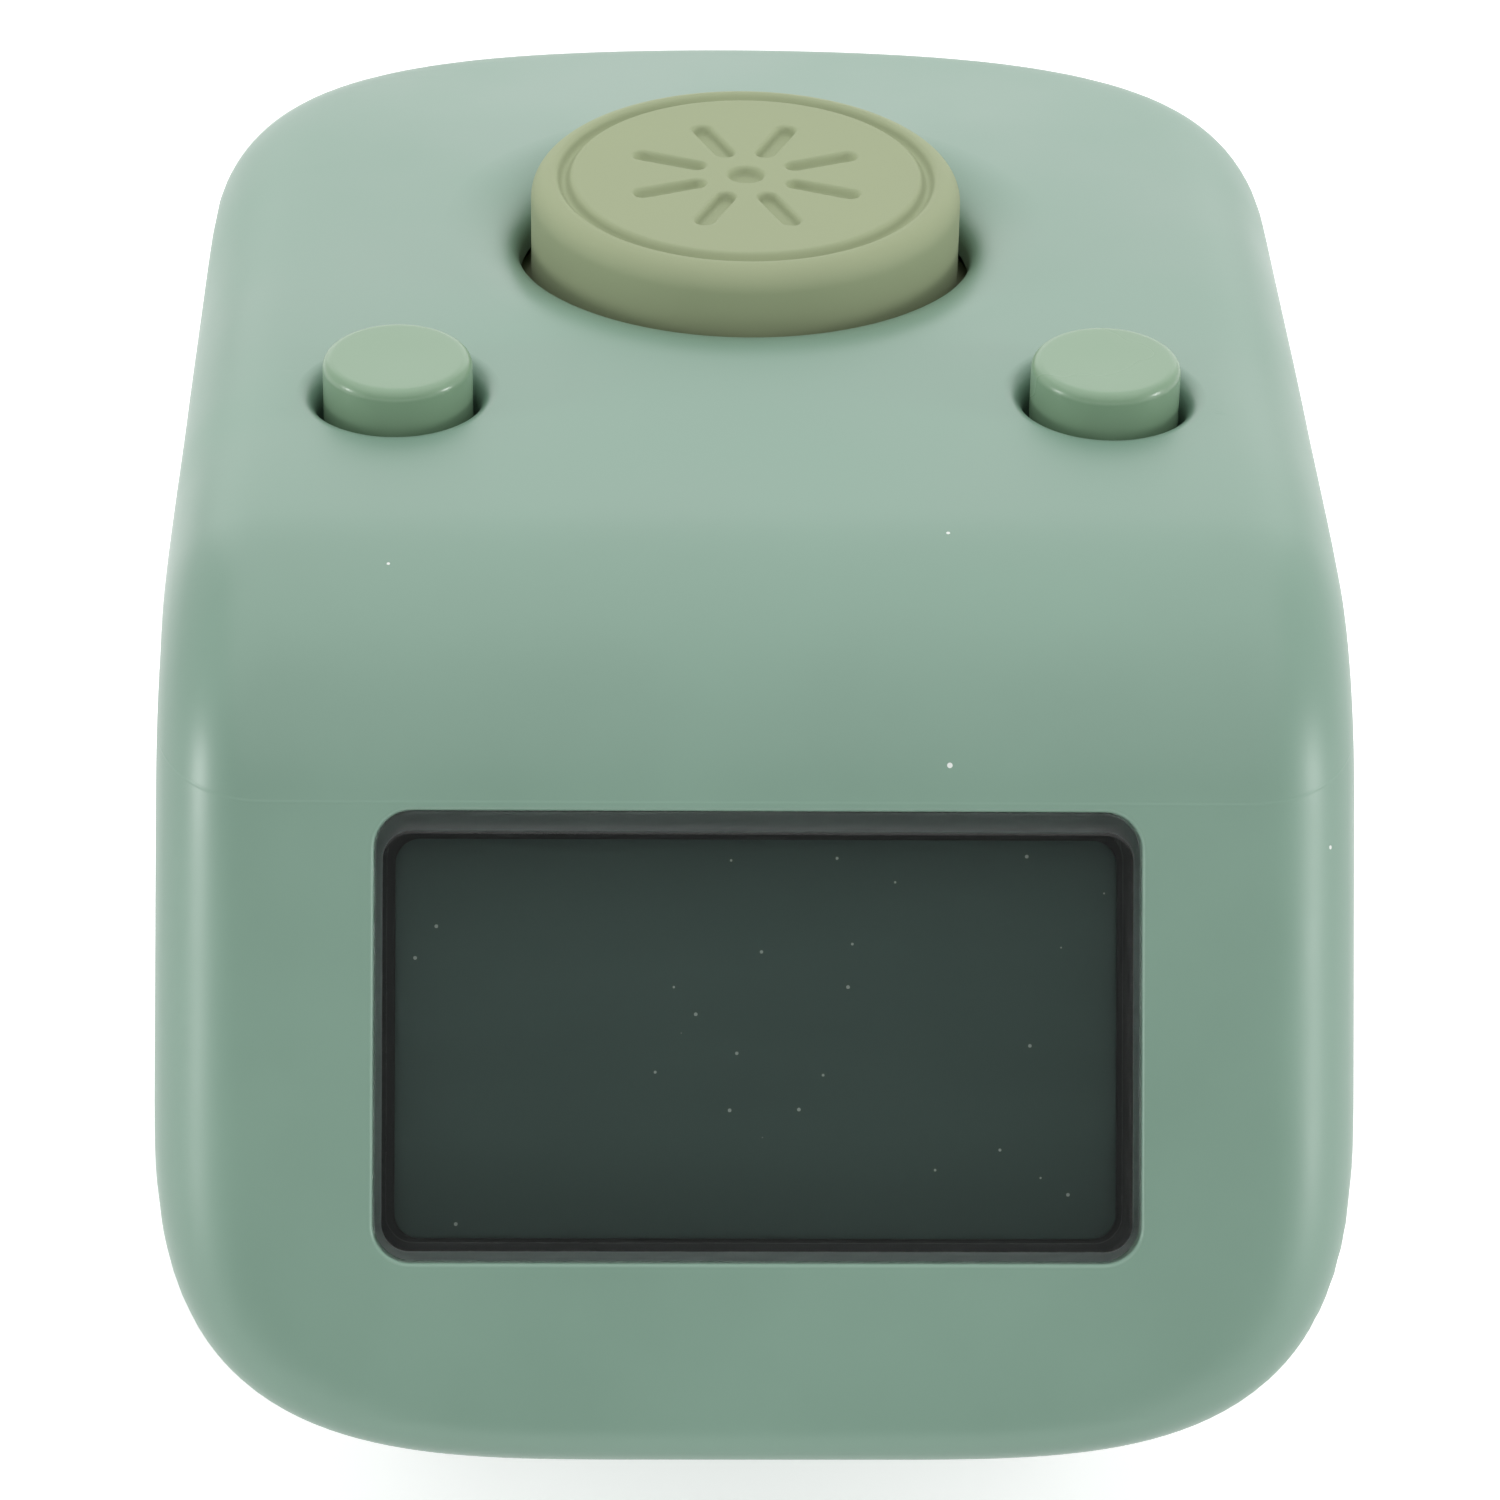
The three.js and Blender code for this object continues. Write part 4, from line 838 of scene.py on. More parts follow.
def battery_door_mesh(sizes):
    """The door: a thin plate flush with the cover, a recess for its screw and a round pad on top."""
    shell = Shell()
    edge = rectangle_at(DOOR_MIDDLE, (DOOR_HALF - FIT, DOOR_REACH - FIT), DOOR_CORNER)
    outer_low, outer_high = rolled_wall(shell, edge, -1, sizes.seam_roll * 1000, underside, DOOR_TOP)
    low, high = screw_hole(shell, np.array([0.0, DOOR_SCREW_Y]), GROOVE_DEPTH + DOOR_SEAT, DOOR_TOP)
    pad = circle_outline(PAD_RADIUS, 96)
    rows = [(1, DOOR_TOP), (1, COVER_TOP - 0.1), (0.975, COVER_TOP), (0.9, COVER_TOP)]
    loops = upright_rings(shell, [((0.0, CELL_Y) + pad * share, z) for share, z in rows])
    shell.fan([0.0, CELL_Y, COVER_TOP], loops[-1][1])
    fill(shell, outer_low, [low], underside)
    fill(shell, outer_high, [high, loops[0]], level(DOOR_TOP))
    return shell.mesh("battery_door_plate")


def screw_head():
    """Radius of the case screws' heads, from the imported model."""
    low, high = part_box("case_screw_1")
    return (high.x - low.x) * 500


def screw_mesh(name, node, head_height):
    """Pan head screw, head down: a turned profile with a cross sunk into the head.

    The cross is the nearer of two bars; its depth fades to nothing over a narrow border.
    """
    low, high = (np.array(corner) * 1000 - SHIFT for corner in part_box(node))
    middle = (low[:2] + high[:2]) / 2
    radius = (high[0] - low[0]) / 2
    face, seat, tip = low[2], low[2] + head_height, high[2]
    rim, soft, shank, root, pitch = 0.3, 0.04, 0.7, 0.56, 0.5
    rows = rounded_face(radius, face, rim, 1, 26, 8)
    rows += [(radius, seat - soft), (radius - soft, seat), (shank, seat)]
    turns = np.arange(seat + 0.2, tip - 0.7, pitch / 2)
    rows += [(shank if i % 2 else root, z) for i, z in enumerate(turns)]
    rows += [(root, tip - 0.6), (0.2, tip), (0.0, tip)]

    def cross(px, py, z):
        arm, half = 0.62 * radius, 0.15 * radius
        first = np.maximum(np.abs(px) - arm, np.abs(py) - half)
        second = np.maximum(np.abs(py) - arm, np.abs(px) - half)
        sunk = smooth_step(0.5 - np.minimum(first, second) / (2 * soft))
        return np.where(z <= face, 0.45 * head_height * sunk, 0)

    shell = Shell()
    turned(shell, rows, middle, 72, cross)
    return shell.mesh(name)


# Finger band

def curve(points, count):
    """A cubic curve through its first and last point, pulled by the two between."""
    t = np.linspace(0, 1, count + 1)[:, None]
    a, b, c, d = (np.array(p, float) for p in points)
    return a * (1 - t) ** 3 + 3 * b * t * (1 - t) ** 2 + 3 * c * t * t * (1 - t) + d * t ** 3


def finger_band_mesh(sizes):
    """A rounded bar section carried along the loop's middle line, wider at its two heads.

    The line drops from each slot, bulges out and turns under in a flat bottom. The section
    stands square to the line; above the slots it thickens to the heads that hold it.
    """
    thickness, width = sizes.band_thickness * 1000, sizes.band_width * 1000
    low = -BAND_DROP + thickness / 2
    bulge, waist, flat, pull = 10.0, 6.1, 5.4, 0.62
    upper = curve([(SLOT_X, 0), (SLOT_X, -waist * (1 - pull)), (bulge, -waist * (1 - pull)),
                   (bulge, -waist)], 40)
    lower = curve([(bulge, -waist), (bulge, -waist + (low + waist) * pull),
                   (flat + (bulge - flat) * pull, low), (flat, low)], 40)
    head_low, head_high, head = COVER_TOP, COVER_TOP + 1.1, 3.0
    straight = [(SLOT_X, z) for z in (head_high, head_high - 0.02, head_high - 0.12, head_low + 0.12,
                                      head_low + 0.02, head_low, head_low, head_low - 0.1, 1.4, 0.7)]
    thick = [head - 0.3, head - 0.08, head, head, head - 0.08, head - 0.3, thickness, thickness,
             thickness, thickness]
    bottom = [(x, low) for x in np.linspace(flat, 0, 12)[1:]]
    right = np.vstack([straight, upper, lower[1:], bottom])
    right_thick = np.concatenate([thick, np.full(len(right) - len(thick), thickness)])
    line = np.vstack([right, (right[:-1] * (-1, 1))[::-1]])
    half = np.concatenate([right_thick, right_thick[:-1][::-1]]) / 2
    along = np.gradient(line, axis=0)
    count = len(straight)
    along[:count] = (0, -1)
    along[-count:] = (0, 1)
    along /= np.linalg.norm(along, axis=1, keepdims=True)
    side = np.stack([-along[:, 1], along[:, 0]], axis=1)
    corner = sizes.band_edge * 1000
    section = rounded_outline(1.0, width / 2, corner, 0.0, 8)
    beyond = section[:, 0] - np.sign(section[:, 0]) * (1.0 - corner)
    across = np.sign(section[:, 0]) * (half[:, None] - corner) + beyond
    shell = Shell()
    points = np.stack([line[:, :1] + side[:, :1] * across,
                       BAND_Y + 0 * across + section[:, 1],
                       line[:, 1:] + side[:, 1:] * across], axis=-1)
    index = shell.sheet(points)
    for row in (0, -1):
        shell.fan([line[row, 0], BAND_Y, line[row, 1]], index[row])
    return shell.mesh("finger_band_loop")


# Finishes

def add_node(tree, kind, settings=None, **inputs):
    """A node with its settings; each input is a plain value or the socket that feeds it."""
    made = tree.nodes.new(kind)
    for name, value in (settings or {}).items():
        setattr(made, name, value)
    for name, value in inputs.items():
        socket = made.inputs[int(name[1:])] if name[1:].isdigit() else made.inputs[name.replace("_", " ")]
        if isinstance(value, bpy.types.NodeSocket):
            tree.links.new(value, socket)
        else:
            socket.default_value = value
    return made


def new_group(name, inputs, outputs):
    """An empty shader node group: inputs are names with defaults, outputs names with types."""
    tree = bpy.data.node_groups.new(name, "ShaderNodeTree")
    for label, default in inputs.items():
        socket = tree.interface.new_socket(label, in_out="INPUT", socket_type="NodeSocketFloat")
        socket.default_value = default
    for label in outputs:
        tree.interface.new_socket(label, in_out="OUTPUT", socket_type="NodeSocketFloat")
    return tree, tree.nodes.new("NodeGroupInput").outputs, tree.nodes.new("NodeGroupOutput").inputs


def maths(tree, operation, first, second=0.0, clamp=False):
    """Output of a Math node."""
    made = add_node(tree, "ShaderNodeMath", {"operation": operation, "use_clamp": clamp}, _0=first, _1=second)
    return made.outputs[0]


def moulded_grain():
    """Group: fine grain over a slow wave as a height, and a slow mottling from 0 to 1."""
    tree, given, out = new_group("moulded grain", {"Grain": 4000.0, "Wave": 600.0, "Wave Share": 0.4},
                                 ["Height", "Mottle"])
    place = add_node(tree, "ShaderNodeTexCoord").outputs["Object"]
    grain = add_node(tree, "ShaderNodeTexNoise", Vector=place, Scale=given["Grain"], Detail=2.0)
    wave = add_node(tree, "ShaderNodeTexNoise", Vector=place, Scale=given["Wave"], Detail=1.0)
    slow = add_node(tree, "ShaderNodeTexNoise", Vector=place, Scale=160.0, Detail=3.0)
    height = add_node(tree, "ShaderNodeMix", _0=given["Wave Share"], _2=grain.outputs[0], _3=wave.outputs[0])
    tree.links.new(height.outputs[0], out["Height"])
    spread = add_node(tree, "ShaderNodeMapRange", Value=slow.outputs[0], From_Min=0.3, From_Max=0.7)
    tree.links.new(spread.outputs[0], out["Mottle"])
    return tree


def dust_specks():
    """Group: a mask of small round specks, a share of the cells of a random pattern."""
    tree, given, out = new_group("dust specks", {"Scale": 900.0, "Size": 0.1, "Share": 0.06}, ["Mask"])
    place = add_node(tree, "ShaderNodeTexCoord").outputs["Object"]
    cells = add_node(tree, "ShaderNodeTexVoronoi", Vector=place, Scale=given["Scale"])
    near = maths(tree, "LESS_THAN", cells.outputs["Distance"], given["Size"])
    pick = add_node(tree, "ShaderNodeSeparateColor", Color=cells.outputs["Color"])
    chosen = maths(tree, "LESS_THAN", pick.outputs[0], given["Share"])
    tree.links.new(maths(tree, "MULTIPLY", near, chosen), out["Mask"])
    return tree


def blend(tree, mask, low, high):
    """Colour socket that goes by a mask from one colour to another, each a value or a socket."""
    ends = [end if isinstance(end, bpy.types.NodeSocket) else (*end, 1) for end in (low, high)]
    mix = add_node(tree, "ShaderNodeMix", {"data_type": "RGBA"}, _0=mask, _6=ends[0], _7=ends[1])
    return mix.outputs[2]


def eased(tree, value, start, end, first, last):
    """Socket that eases from first to last while a value goes from start to end."""
    made = add_node(tree, "ShaderNodeMapRange", {"interpolation_type": "SMOOTHSTEP"}, Value=value,
                    From_Min=start, From_Max=end, To_Min=first, To_Max=last)
    return made.outputs[0]


def towards_face(tree, direction):
    """Cosine of the angle between a direction and the one in which the window looks."""
    made = add_node(tree, "ShaderNodeVectorMath", {"operation": "DOT_PRODUCT"}, _0=direction,
                    _1=tuple(FACE_OUT))
    return made.outputs["Value"]


def object_place(tree):
    """Object coordinates, and their height alone."""
    place = add_node(tree, "ShaderNodeTexCoord").outputs["Object"]
    return place, add_node(tree, "ShaderNodeSeparateXYZ", Vector=place).outputs["Z"]


def shader_inputs(material):
    """Inputs of a material's shader."""
    return material.node_tree.nodes["Principled BSDF"].inputs


def add_dust(material, scale, size, share, colour):
    """Specks of another colour over the base colour of a material."""
    tree, base = material.node_tree, shader_inputs(material)["Base Color"]
    dust = add_node(tree, "ShaderNodeGroup", {"node_tree": shared_group("dust specks")},
                    Scale=scale, Size=size, Share=share)
    tree.links.new(blend(tree, dust.outputs[0], base.links[0].from_socket, colour), base)


GROUPS = {}


def shared_group(name):
    """A node group made the first time that it is asked for."""
    if name not in GROUPS:
        GROUPS[name] = {"moulded grain": moulded_grain, "dust specks": dust_specks}[name]()
    return GROUPS[name]


def new_material(name):
    """A material with its node tree and the inputs of its shader."""
    material = bpy.data.materials.new(name)
    material.use_nodes = True
    return material, material.node_tree, shader_inputs(material)


def finish(name, colour, roughness, grain=4000.0, depth=1.0, mottle=0.04, spread=0.05, wave=600.0,
           wave_share=0.4, **shader):
    """A material whose colour, roughness and surface vary with the moulded grain.

    depth is the height of the grain in micrometres, mottle the share by which the colour
    varies and spread how far the roughness does.
    """
    material, tree, surface = new_material(name)
    noise = add_node(tree, "ShaderNodeGroup", {"node_tree": shared_group("moulded grain")},
                     Grain=grain, Wave=wave, Wave_Share=wave_share)
    colour = np.array(colour[:3])
    lighter = np.minimum(colour * (1 + mottle), 1)
    tint = blend(tree, noise.outputs["Mottle"], colour * (1 - mottle), lighter)
    tree.links.new(tint, surface["Base Color"])
    rough = add_node(tree, "ShaderNodeMapRange", Value=noise.outputs["Mottle"], To_Min=roughness - spread,
                     To_Max=roughness + spread)
    tree.links.new(rough.outputs[0], surface["Roughness"])
    if depth:
        bump = add_node(tree, "ShaderNodeBump", Strength=1.0, Distance=depth * 1e-6,
                        Height=noise.outputs["Height"])
        tree.links.new(bump.outputs[0], surface["Normal"])
    for label, value in shader.items():
        surface[label.replace("_", " ")].default_value = value
    return material


def case_finish(colours):
    """Satin case plastic, with the faint parting line that runs across the face over the window: a low ridge,
    with a painted highlight that tints it lighter.
    """
    material = finish("case_plastic", colours.case, 0.38, grain=6500.0, depth=1.7, mottle=0.035,
                      wave=1500.0, wave_share=0.4, IOR=1.52, Specular_IOR_Level=0.65)
    tree, inputs = material.node_tree, shader_inputs(material)
    above_window, half_width, ridge_height, lighter, painted_highlight_share = 0.18, 4e-5, 4e-6, 1.3, 0.12
    line_z = (BAND_DROP + (WINDOW_UP + WINDOW_HALF[1] + above_window) * COSINE) * 0.001
    away = maths(tree, "ABSOLUTE", maths(tree, "SUBTRACT", object_place(tree)[1], line_z))
    line = maths(tree, "SUBTRACT", 1.0, maths(tree, "DIVIDE", away, half_width, clamp=True), clamp=True)
    ridge = add_node(tree, "ShaderNodeBump", Strength=1.0, Distance=ridge_height, Height=line,
                     Normal=inputs["Normal"].links[0].from_socket)
    tree.links.new(ridge.outputs[0], inputs["Normal"])
    # Painted highlight: the ridge's colour is tinted lighter along the parting line.
    tint = blend(tree, maths(tree, "MULTIPLY", line, painted_highlight_share), inputs["Base Color"].links[0].from_socket,
                 np.array(colours.case) * lighter)
    tree.links.new(tint, inputs["Base Color"])
    add_dust(material, scale=700.0, size=0.045, share=0.12, colour=(0.75, 0.78, 0.75))
    return material


def satin_edges(material):
    """Makes a window pane rough wherever it doesn't face straight out, so on bevel and sides."""
    tree = material.node_tree
    normal = add_node(tree, "ShaderNodeNewGeometry").outputs["Normal"]
    facing = maths(tree, "ABSOLUTE", towards_face(tree, normal))
    rough = eased(tree, facing, start=0.88, end=0.99, first=0.5, last=0.0)
    tree.links.new(rough, shader_inputs(material)["Roughness"])


def display_finish(colours):
    """Switched-off display: dark, with painted light that makes it a little lighter across its middle in
    faint bands, and dust.
    """
    material = finish("display_glass", colours.display, 0.3, depth=0.0, mottle=0.1, spread=0.02,
                      Specular_IOR_Level=0.2)
    tree = material.node_tree
    low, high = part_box("lcd_glass")
    place, height = object_place(tree)
    # Painted light: a share that is one across the display's middle and fades to nothing at its top and
    # bottom.
    off_middle = maths(tree, "ABSOLUTE", maths(tree, "SUBTRACT", height, (low.z + high.z) / 2))
    rise = eased(tree, off_middle, start=0.0, end=(high.z - low.z) / 2, first=1.0, last=0.0)
    stretched = add_node(tree, "ShaderNodeMapping", Vector=place, Scale=(0.12, 1.0, 1.0))
    bands = add_node(tree, "ShaderNodeTexNoise", Vector=stretched.outputs[0], Scale=420.0, Detail=2.0)
    # Painted light: the colour is lifted a little at top and bottom and more across the middle, in faint
    # bands.
    dark, at_edges, painted_light_middle = np.array(colours.display), 1.1, 1.5
    mask = maths(tree, "MULTIPLY", rise, bands.outputs[0])
    base = blend(tree, mask, dark * at_edges, dark * painted_light_middle)
    tree.links.new(base, shader_inputs(material)["Base Color"])
    add_dust(material, scale=1300.0, size=0.055, share=0.9, colour=(0.45, 0.5, 0.47))
    return material


# Settings that a user would change

def length_setting(name, default, description):
    """A length in metres."""
    return FloatProperty(name=name, description=description, default=default, min=0.0, unit="LENGTH",
                         precision=5)


def colour_setting(name, default, description):
    """A linear colour."""
    return FloatVectorProperty(name=name, description=description, default=default, min=0.0, max=1.0,
                               subtype="COLOR", size=3)


class CounterSizes(bpy.types.PropertyGroup):
    """Sizes of what stands in the case's openings and of its soft edges."""

    count_radius: length_setting("Count Radius", 0.0054, "Radius of the big cap")
    count_gap: length_setting("Count Gap", 0.0003, "Gap between the big cap and its hole")
    count_rim: length_setting("Count Rim", 0.00065, "Rounding of the big cap's rim")
    count_roll: length_setting("Count Roll", 0.0019, "Width of the rounded edge of the big hole")
    count_sink: length_setting("Count Sink", 0.00098, "Depth of the rounded edge of the big hole")
    ring_radius: length_setting("Ring Radius", 0.00458, "Radius of the ring groove in the big cap")
    ring_width: length_setting("Ring Width", 0.00026, "Half width of the ring groove")
    ring_depth: length_setting("Ring Depth", 0.00022, "Depth of the ring groove")
    mark_strokes: IntProperty(name="Mark Strokes", description="Number of strokes in the mark",
                              default=8, min=3)
    mark_inner: length_setting("Mark Inner", 0.00115, "Radius at which the strokes start")
    mark_outer: length_setting("Mark Outer", 0.003, "Radius at which the strokes end")
    mark_width: length_setting("Mark Width", 0.00042, "Width of each stroke")
    mark_depth: length_setting("Mark Depth", 0.00022, "Depth of the mark")
    small_radius: length_setting("Small Radius", 0.00179, "Radius of the two small caps")
    small_gap: length_setting("Small Gap", 0.00016, "Gap between a small cap and its hole")
    small_rim: length_setting("Small Rim", 0.00026, "Rounding of a small cap's rim")
    small_roll: length_setting("Small Roll", 0.00048, "Width of the rounded edge of a small hole")
    small_sink: length_setting("Small Sink", 0.0007, "Depth of the rounded edge of a small hole")
    lens_bevel: length_setting("Lens Bevel", 0.0003, "Width of the bevel round the window pane")
    seam_roll: length_setting("Seam Roll", 0.00012, "Rounding of the edges of cover and door")
    band_thickness: length_setting("Band Thickness", 0.0016, "Thickness of the finger band")
    band_width: length_setting("Band Width", 0.011, "Width of the finger band")
    band_edge: length_setting("Band Edge", 0.00045, "Rounding of the band's edges")


class CounterColours(bpy.types.PropertyGroup):
    """Colours of the plastics and rubbers that show."""

    case: colour_setting("Case", (0.19, 0.315, 0.243), "Sea green plastic of the case")
    cover: colour_setting("Cover", (0.185, 0.325, 0.25), "Plastic of the bottom cover and its door")
    count: colour_setting("Count Button", (0.34, 0.39, 0.235), "Khaki silicone of the big cap")
    small: colour_setting("Small Buttons", (0.22, 0.345, 0.225), "Plastic of the two small caps")
    band: colour_setting("Finger Band", (0.24, 0.34, 0.27), "Silicone of the finger band")
    display: colour_setting("Display", (0.066, 0.098, 0.088), "Switched-off display")


# Operators

def sizes_of(context):
    """The scene's size settings."""
    return context.scene.counter_sizes


def colours_of(context):
    """The scene's colour settings."""
    return context.scene.counter_colours


class BuildUpperCase(bpy.types.Operator):
    """Build the upper case with its window, button holes and cover opening"""

    bl_idname = "finger_counter.upper_case"
    bl_label = "Upper Case"

    def execute(self, context):
        plastic = case_finish(colours_of(context))
        put_in_scene("upper_case_shell", upper_case_mesh(sizes_of(context)), plastic, "case",
                     "case_plastic", "upper_case")
        return {"FINISHED"}


class BuildBottom(bpy.types.Operator):
    """Build the bottom cover, the battery door and the five screws that hold them"""

    bl_idname = "finger_counter.bottom"
    bl_label = "Bottom Cover and Screws"

    def execute(self, context):
        sizes = sizes_of(context)
        plastic = finish("cover_plastic", colours_of(context).cover, 0.46, grain=2600.0, depth=2.4,
                         mottle=0.04, wave=700.0, IOR=1.5)
        put_in_scene("bottom_cover", lower_case_mesh(sizes), plastic, "case", "cover_plastic",
                     "lower_case")
        put_in_scene("battery_door_plate", battery_door_mesh(sizes), plastic, "case", "cover_plastic",
                     "battery_door")
        steel = finish("screw_steel", (0.55, 0.56, 0.57), 0.3, grain=6000.0, depth=0.8, mottle=0.08,
                       spread=0.08, Metallic=1.0)
        heights = {"battery_door_screw": 0.5, **{f"case_screw_{i}": 0.8 for i in (1, 2, 3, 4)}}
        for node, height in heights.items():
            put_in_scene(node + "_turned", screw_mesh(node + "_turned", node, height), steel, "case",
                         "screw_steel", node)
        return {"FINISHED"}


class BuildWindow(bpy.types.Operator):
    """Build the bevelled window pane and the foam behind it, and finish the display"""

    bl_idname = "finger_counter.window"
    bl_label = "Window"

    def execute(self, context):
        clear = finish("clear_lens", (0.93, 0.96, 0.95), 0.0, depth=0.0, mottle=0.01, spread=0.0,
                       IOR=1.49, Transmission_Weight=1.0)
        satin_edges(clear)
        put_in_scene("window_lens_pane", lens_mesh(sizes_of(context)), clear, "case", "clear_lens",
                     "window_lens")
        foam = finish("gasket_foam", (0.012, 0.014, 0.013), 0.85, grain=5000.0, depth=12.0, mottle=0.2)
        put_in_scene("lens_gasket_foam", gasket_mesh(), foam, "case", "gasket_foam", "lens_gasket")
        frame["nodes"]["lcd_glass"].material_slots[0].material = display_finish(colours_of(context))
        return {"FINISHED"}


class BuildCountButton(bpy.types.Operator):
    """Build the big silicone cap with its ring groove and mark"""

    bl_idname = "finger_counter.count_button"
    bl_label = "Count Button"

    def execute(self, context):
        rubber = finish("count_button_rubber", colours_of(context).count, 0.72, grain=5200.0, depth=3.0,
                        mottle=0.03, wave=1400.0, wave_share=0.3, IOR=1.42)
        put_in_scene("count_button_cap", count_cap_mesh(sizes_of(context)), rubber, "count_button",
                     "count_button_rubber", "count_button")
        return {"FINISHED"}


class BuildSmallButtons(bpy.types.Operator):
    """Build the two small glossy caps"""

    bl_idname = "finger_counter.small_buttons"
    bl_label = "Small Buttons"

    def execute(self, context):
        plastic = finish("small_button_plastic", colours_of(context).small, 0.26, grain=3000.0, depth=0.5,
                         mottle=0.02, wave=500.0, wave_share=0.7, IOR=1.5)
        for side, node in ((-1, "reset_button"), (1, "light_button")):
            mesh = small_cap_mesh(node + "_cap", side * SMALL_X, sizes_of(context))
            put_in_scene(node + "_cap", mesh, plastic, node, "small_button_plastic", node)
        return {"FINISHED"}


class BuildFingerBand(bpy.types.Operator):
    """Build the silicone loop that goes round the finger"""

    bl_idname = "finger_counter.finger_band"
    bl_label = "Finger Band"

    def execute(self, context):
        silicone = finish("band_silicone", colours_of(context).band, 0.6, grain=3800.0, depth=2.5,
                          mottle=0.04, wave=500.0, IOR=1.42)
        put_in_scene("finger_band_loop", finger_band_mesh(sizes_of(context)), silicone, "case",
                     "band_silicone", "finger_band")
        return {"FINISHED"}


# Colour, roughness and the rest of finish for each material slot inside the case
INNER_FINISHES = {
    "white_plastic": ((0.75, 0.76, 0.73), 0.5, dict(depth=1.5)),
    "black_plastic": ((0.02, 0.021, 0.021), 0.5, dict(depth=2.0, mottle=0.1)),
    "zebra_rubber": ((0.5, 0.32, 0.35), 0.8, dict(grain=6000.0, depth=3.0, mottle=0.1)),
    "circuit_board": ((0.02, 0.15, 0.07), 0.35, dict(grain=1500.0, depth=4.0, mottle=0.15, Coat_Weight=0.3)),
    "chip_epoxy": ((0.008, 0.008, 0.009), 0.3, dict(depth=3.0, mottle=0.2)),
    "ribbon_film": ((0.45, 0.17, 0.03), 0.3, dict(depth=0.5, mottle=0.1)),
    "can_steel": ((0.58, 0.58, 0.56), 0.28, dict(grain=8000.0, depth=0.6, mottle=0.06, Metallic=1.0)),
    "inner_screw_steel": ((0.55, 0.56, 0.57), 0.3, dict(depth=0.8, Metallic=1.0)),
    "capacitor_ceramic": ((0.3, 0.2, 0.1), 0.6, dict(depth=2.0, mottle=0.12)),
    "contact_brass": ((0.6, 0.42, 0.14), 0.3, dict(depth=0.6, mottle=0.08, Metallic=1.0)),
}


class FinishInnerParts(bpy.types.Operator):
    """Give each part inside the case its own finish"""

    bl_idname = "finger_counter.inner_parts"
    bl_label = "Inner Parts"

    def execute(self, context):
        finishes = {name: finish(name, colour, roughness, **rest)
                    for name, (colour, roughness, rest) in INNER_FINISHES.items()}
        slots = {part["node"]: part["material_slot"] for part in frame["record"]["subparts"]}
        for node, part in frame["nodes"].items():
            kind = "inner_screw_steel" if node.startswith("board_screw") else slots[node]
            if kind in finishes and not part.hide_render:
                part.material_slots[0].material = finishes[kind]
        return {"FINISHED"}


class BuildStage(bpy.types.Operator):
    """Set up the pale floor, the soft lamps, the world and the camera"""

    bl_idname = "finger_counter.stage"
    bl_label = "Stage"

    def execute(self, context):
        scene = context.scene
        pale_floor()
        world_light(scene)
        for name, place, width, height, power in LAMPS:
            lamp(name, place, width, height, power)
        camera = bpy.data.cameras.new("photo_camera")
        camera.lens = CAMERA_LENS
        camera.clip_start, camera.clip_end = 0.01, 10.0
        eye = new_object("photo_camera", camera)
        eye.location = CAMERA_PLACE
        turn = Matrix.Rotation(-CAMERA_YAW, 3, "Z") @ Matrix.Rotation(math.pi / 2 - CAMERA_PITCH, 3, "X")
        eye.rotation_euler = (turn @ Matrix.Rotation(CAMERA_ROLL, 3, "Z")).to_euler()
        scene.camera = eye
        scene.view_settings.view_transform = "Standard"
        return {"FINISHED"}


def lamp(name, place, width, height, power):
    """A rectangular soft lamp that looks at the counter."""
    light = bpy.data.lights.new(name, "AREA")
    light.shape = "RECTANGLE"
    light.size, light.size_y = width, height
    light.energy = power
    target = (0.0, 0.0, 0.02)
    made = new_object(name, light)
    made.location = place
    made.rotation_euler = (Vector(target) - Vector(place)).to_track_quat("-Z", "Y").to_euler()


def pale_floor():
    """A pale floor that keeps the shadow; camera rays see it lifted towards white."""
    shell = Shell()
    side, drop, lifted = 900.0, BAND_DROP + 0.02, 0.5
    corners = [(-side, -side, -drop), (side, -side, -drop), (side, side, -drop), (-side, side, -drop)]
    shell.quads.append(shell.add(corners)[None])
    mesh = shell.mesh("floor")
    material, tree, inputs = new_material("pale_floor")
    inputs["Base Color"].default_value = (0.8, 0.8, 0.8, 1)
    inputs["Roughness"].default_value = 0.9
    inputs["Emission Color"].default_value = (1, 1, 1, 1)
    rays = add_node(tree, "ShaderNodeLightPath").outputs
    seen = maths(tree, "MAXIMUM", rays["Is Camera Ray"], rays["Is Glossy Ray"])
    tree.links.new(maths(tree, "MULTIPLY", seen, lifted), inputs["Emission Strength"])
    mesh.materials.append(material)
    floor = new_object("floor", mesh)


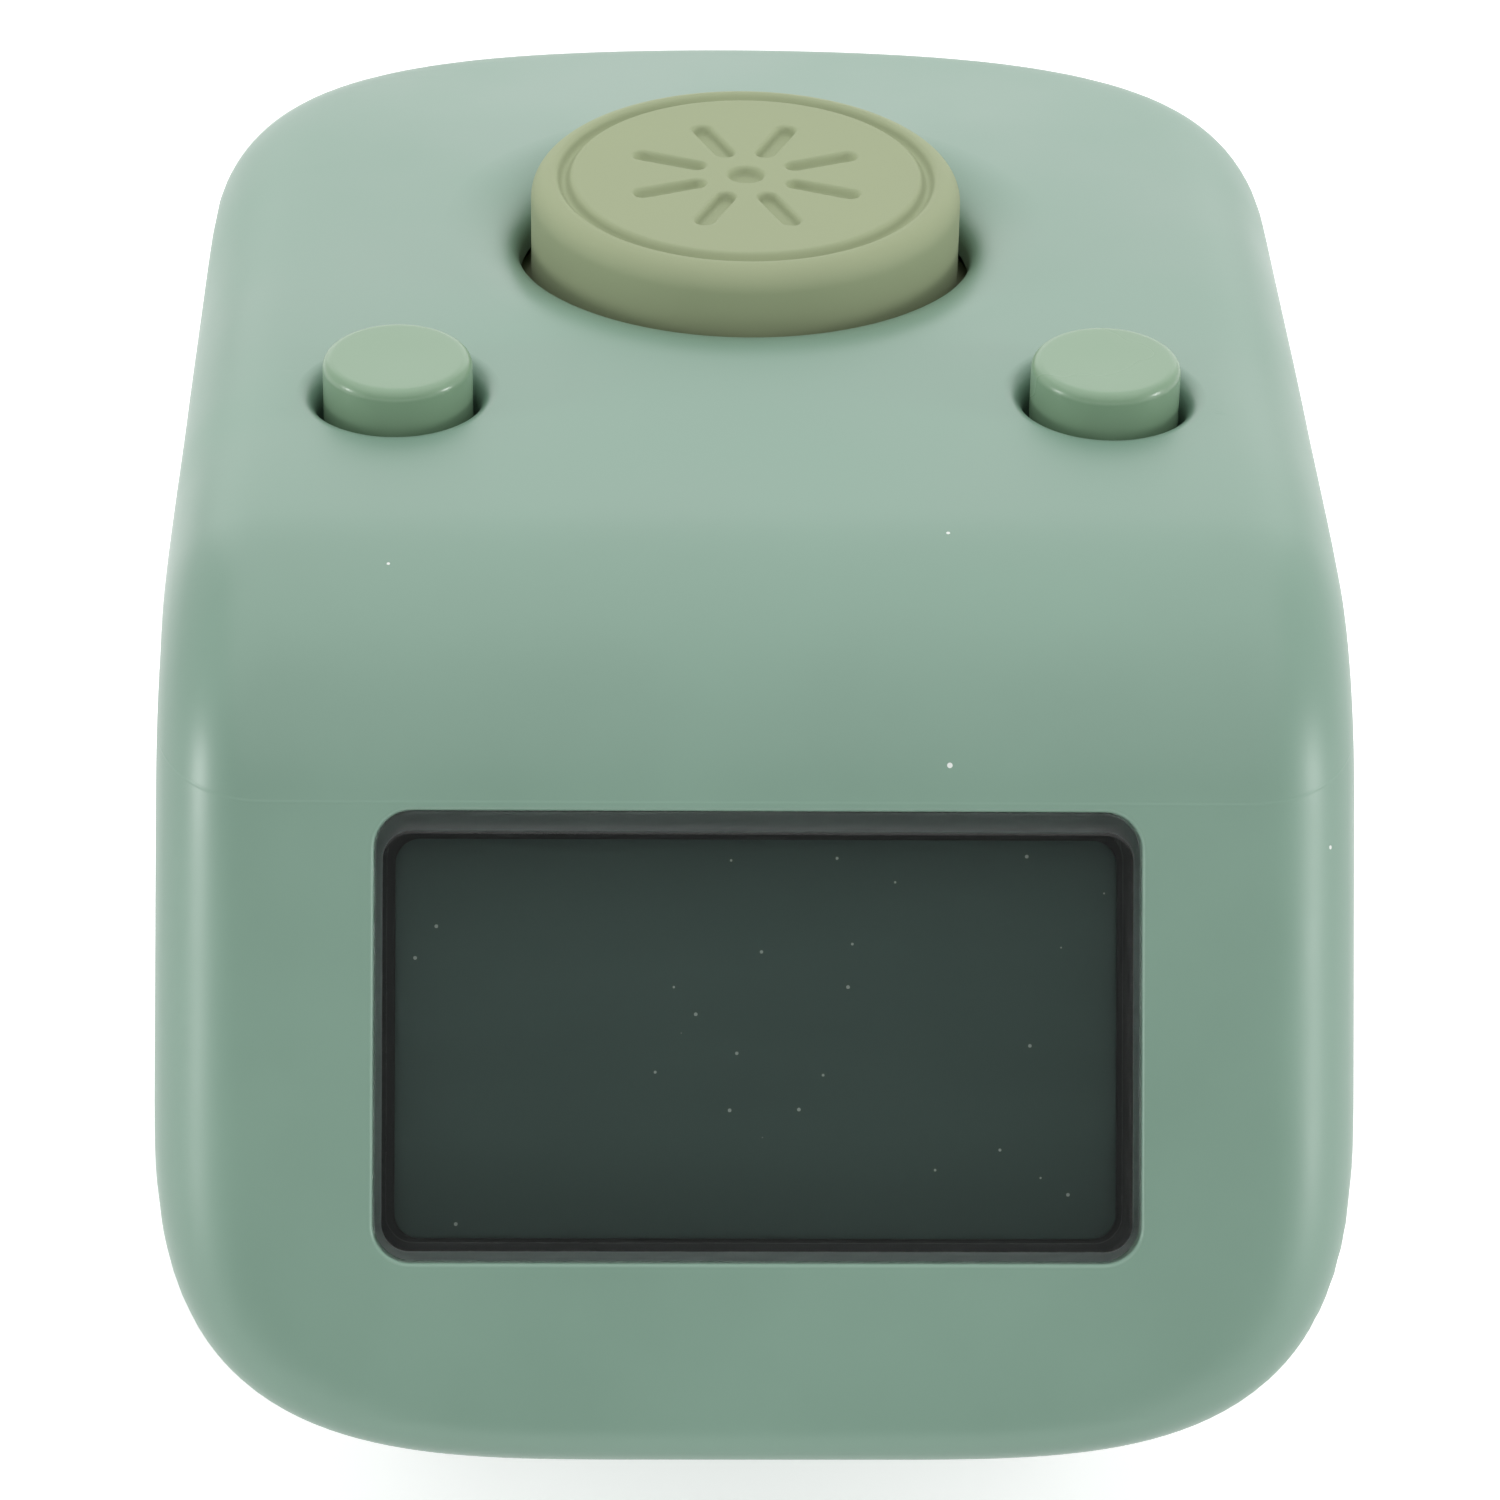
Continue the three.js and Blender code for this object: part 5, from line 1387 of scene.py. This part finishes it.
def world_light(scene):
    """White to the camera, grey for soft light, and in reflections white but for a dark front."""
    world = bpy.data.worlds.new("studio")
    world.use_nodes = True
    tree = world.node_tree
    rays = add_node(tree, "ShaderNodeLightPath").outputs
    bounced = maths(tree, "MAXIMUM", rays["Is Glossy Ray"], rays["Is Transmission Ray"])
    direction = add_node(tree, "ShaderNodeTexCoord").outputs["Generated"]
    room = eased(tree, towards_face(tree, direction), start=0.45, end=0.9, first=1.0, last=0.1)
    light = add_node(tree, "ShaderNodeMapRange", Value=bounced, To_Min=0.5, To_Max=room)
    background = tree.nodes["Background"].inputs
    tree.links.new(maths(tree, "MAXIMUM", rays["Is Camera Ray"], light.outputs[0]), background["Strength"])
    background["Color"].default_value = (1, 1, 1, 1)
    scene.world = world


OPERATORS = [BuildUpperCase, BuildBottom, BuildWindow, BuildCountButton, BuildSmallButtons, BuildFingerBand,
             FinishInnerParts, BuildStage]


class CounterPanel(bpy.types.Panel):
    """Panel that lists the settings and the steps."""

    bl_idname = "VIEW3D_PT_finger_counter"
    bl_label = "Finger Counter"
    bl_space_type = "VIEW_3D"
    bl_region_type = "UI"
    bl_category = "Finger Counter"

    def draw(self, context):
        for settings in (context.scene.counter_sizes, context.scene.counter_colours):
            for name in settings.__annotations__:
                self.layout.prop(settings, name)
        for operator in OPERATORS:
            self.layout.operator(operator.bl_idname)


CLASSES = [CounterSizes, CounterColours, *OPERATORS, CounterPanel]


def register():
    """Adds the settings, operators and panel."""
    for made in CLASSES:
        bpy.utils.register_class(made)
    bpy.types.Scene.counter_sizes = PointerProperty(type=CounterSizes)
    bpy.types.Scene.counter_colours = PointerProperty(type=CounterColours)


def unregister():
    """Takes them away again."""
    del bpy.types.Scene.counter_sizes
    del bpy.types.Scene.counter_colours
    for made in reversed(CLASSES):
        bpy.utils.unregister_class(made)


def main():
    """Runs every step in order."""
    register()
    steps = bpy.ops.finger_counter
    for step in (steps.upper_case, steps.bottom, steps.window, steps.count_button, steps.small_buttons,
                 steps.finger_band, steps.inner_parts, steps.stage):
        step()


if __name__ == "__main__":
    main()
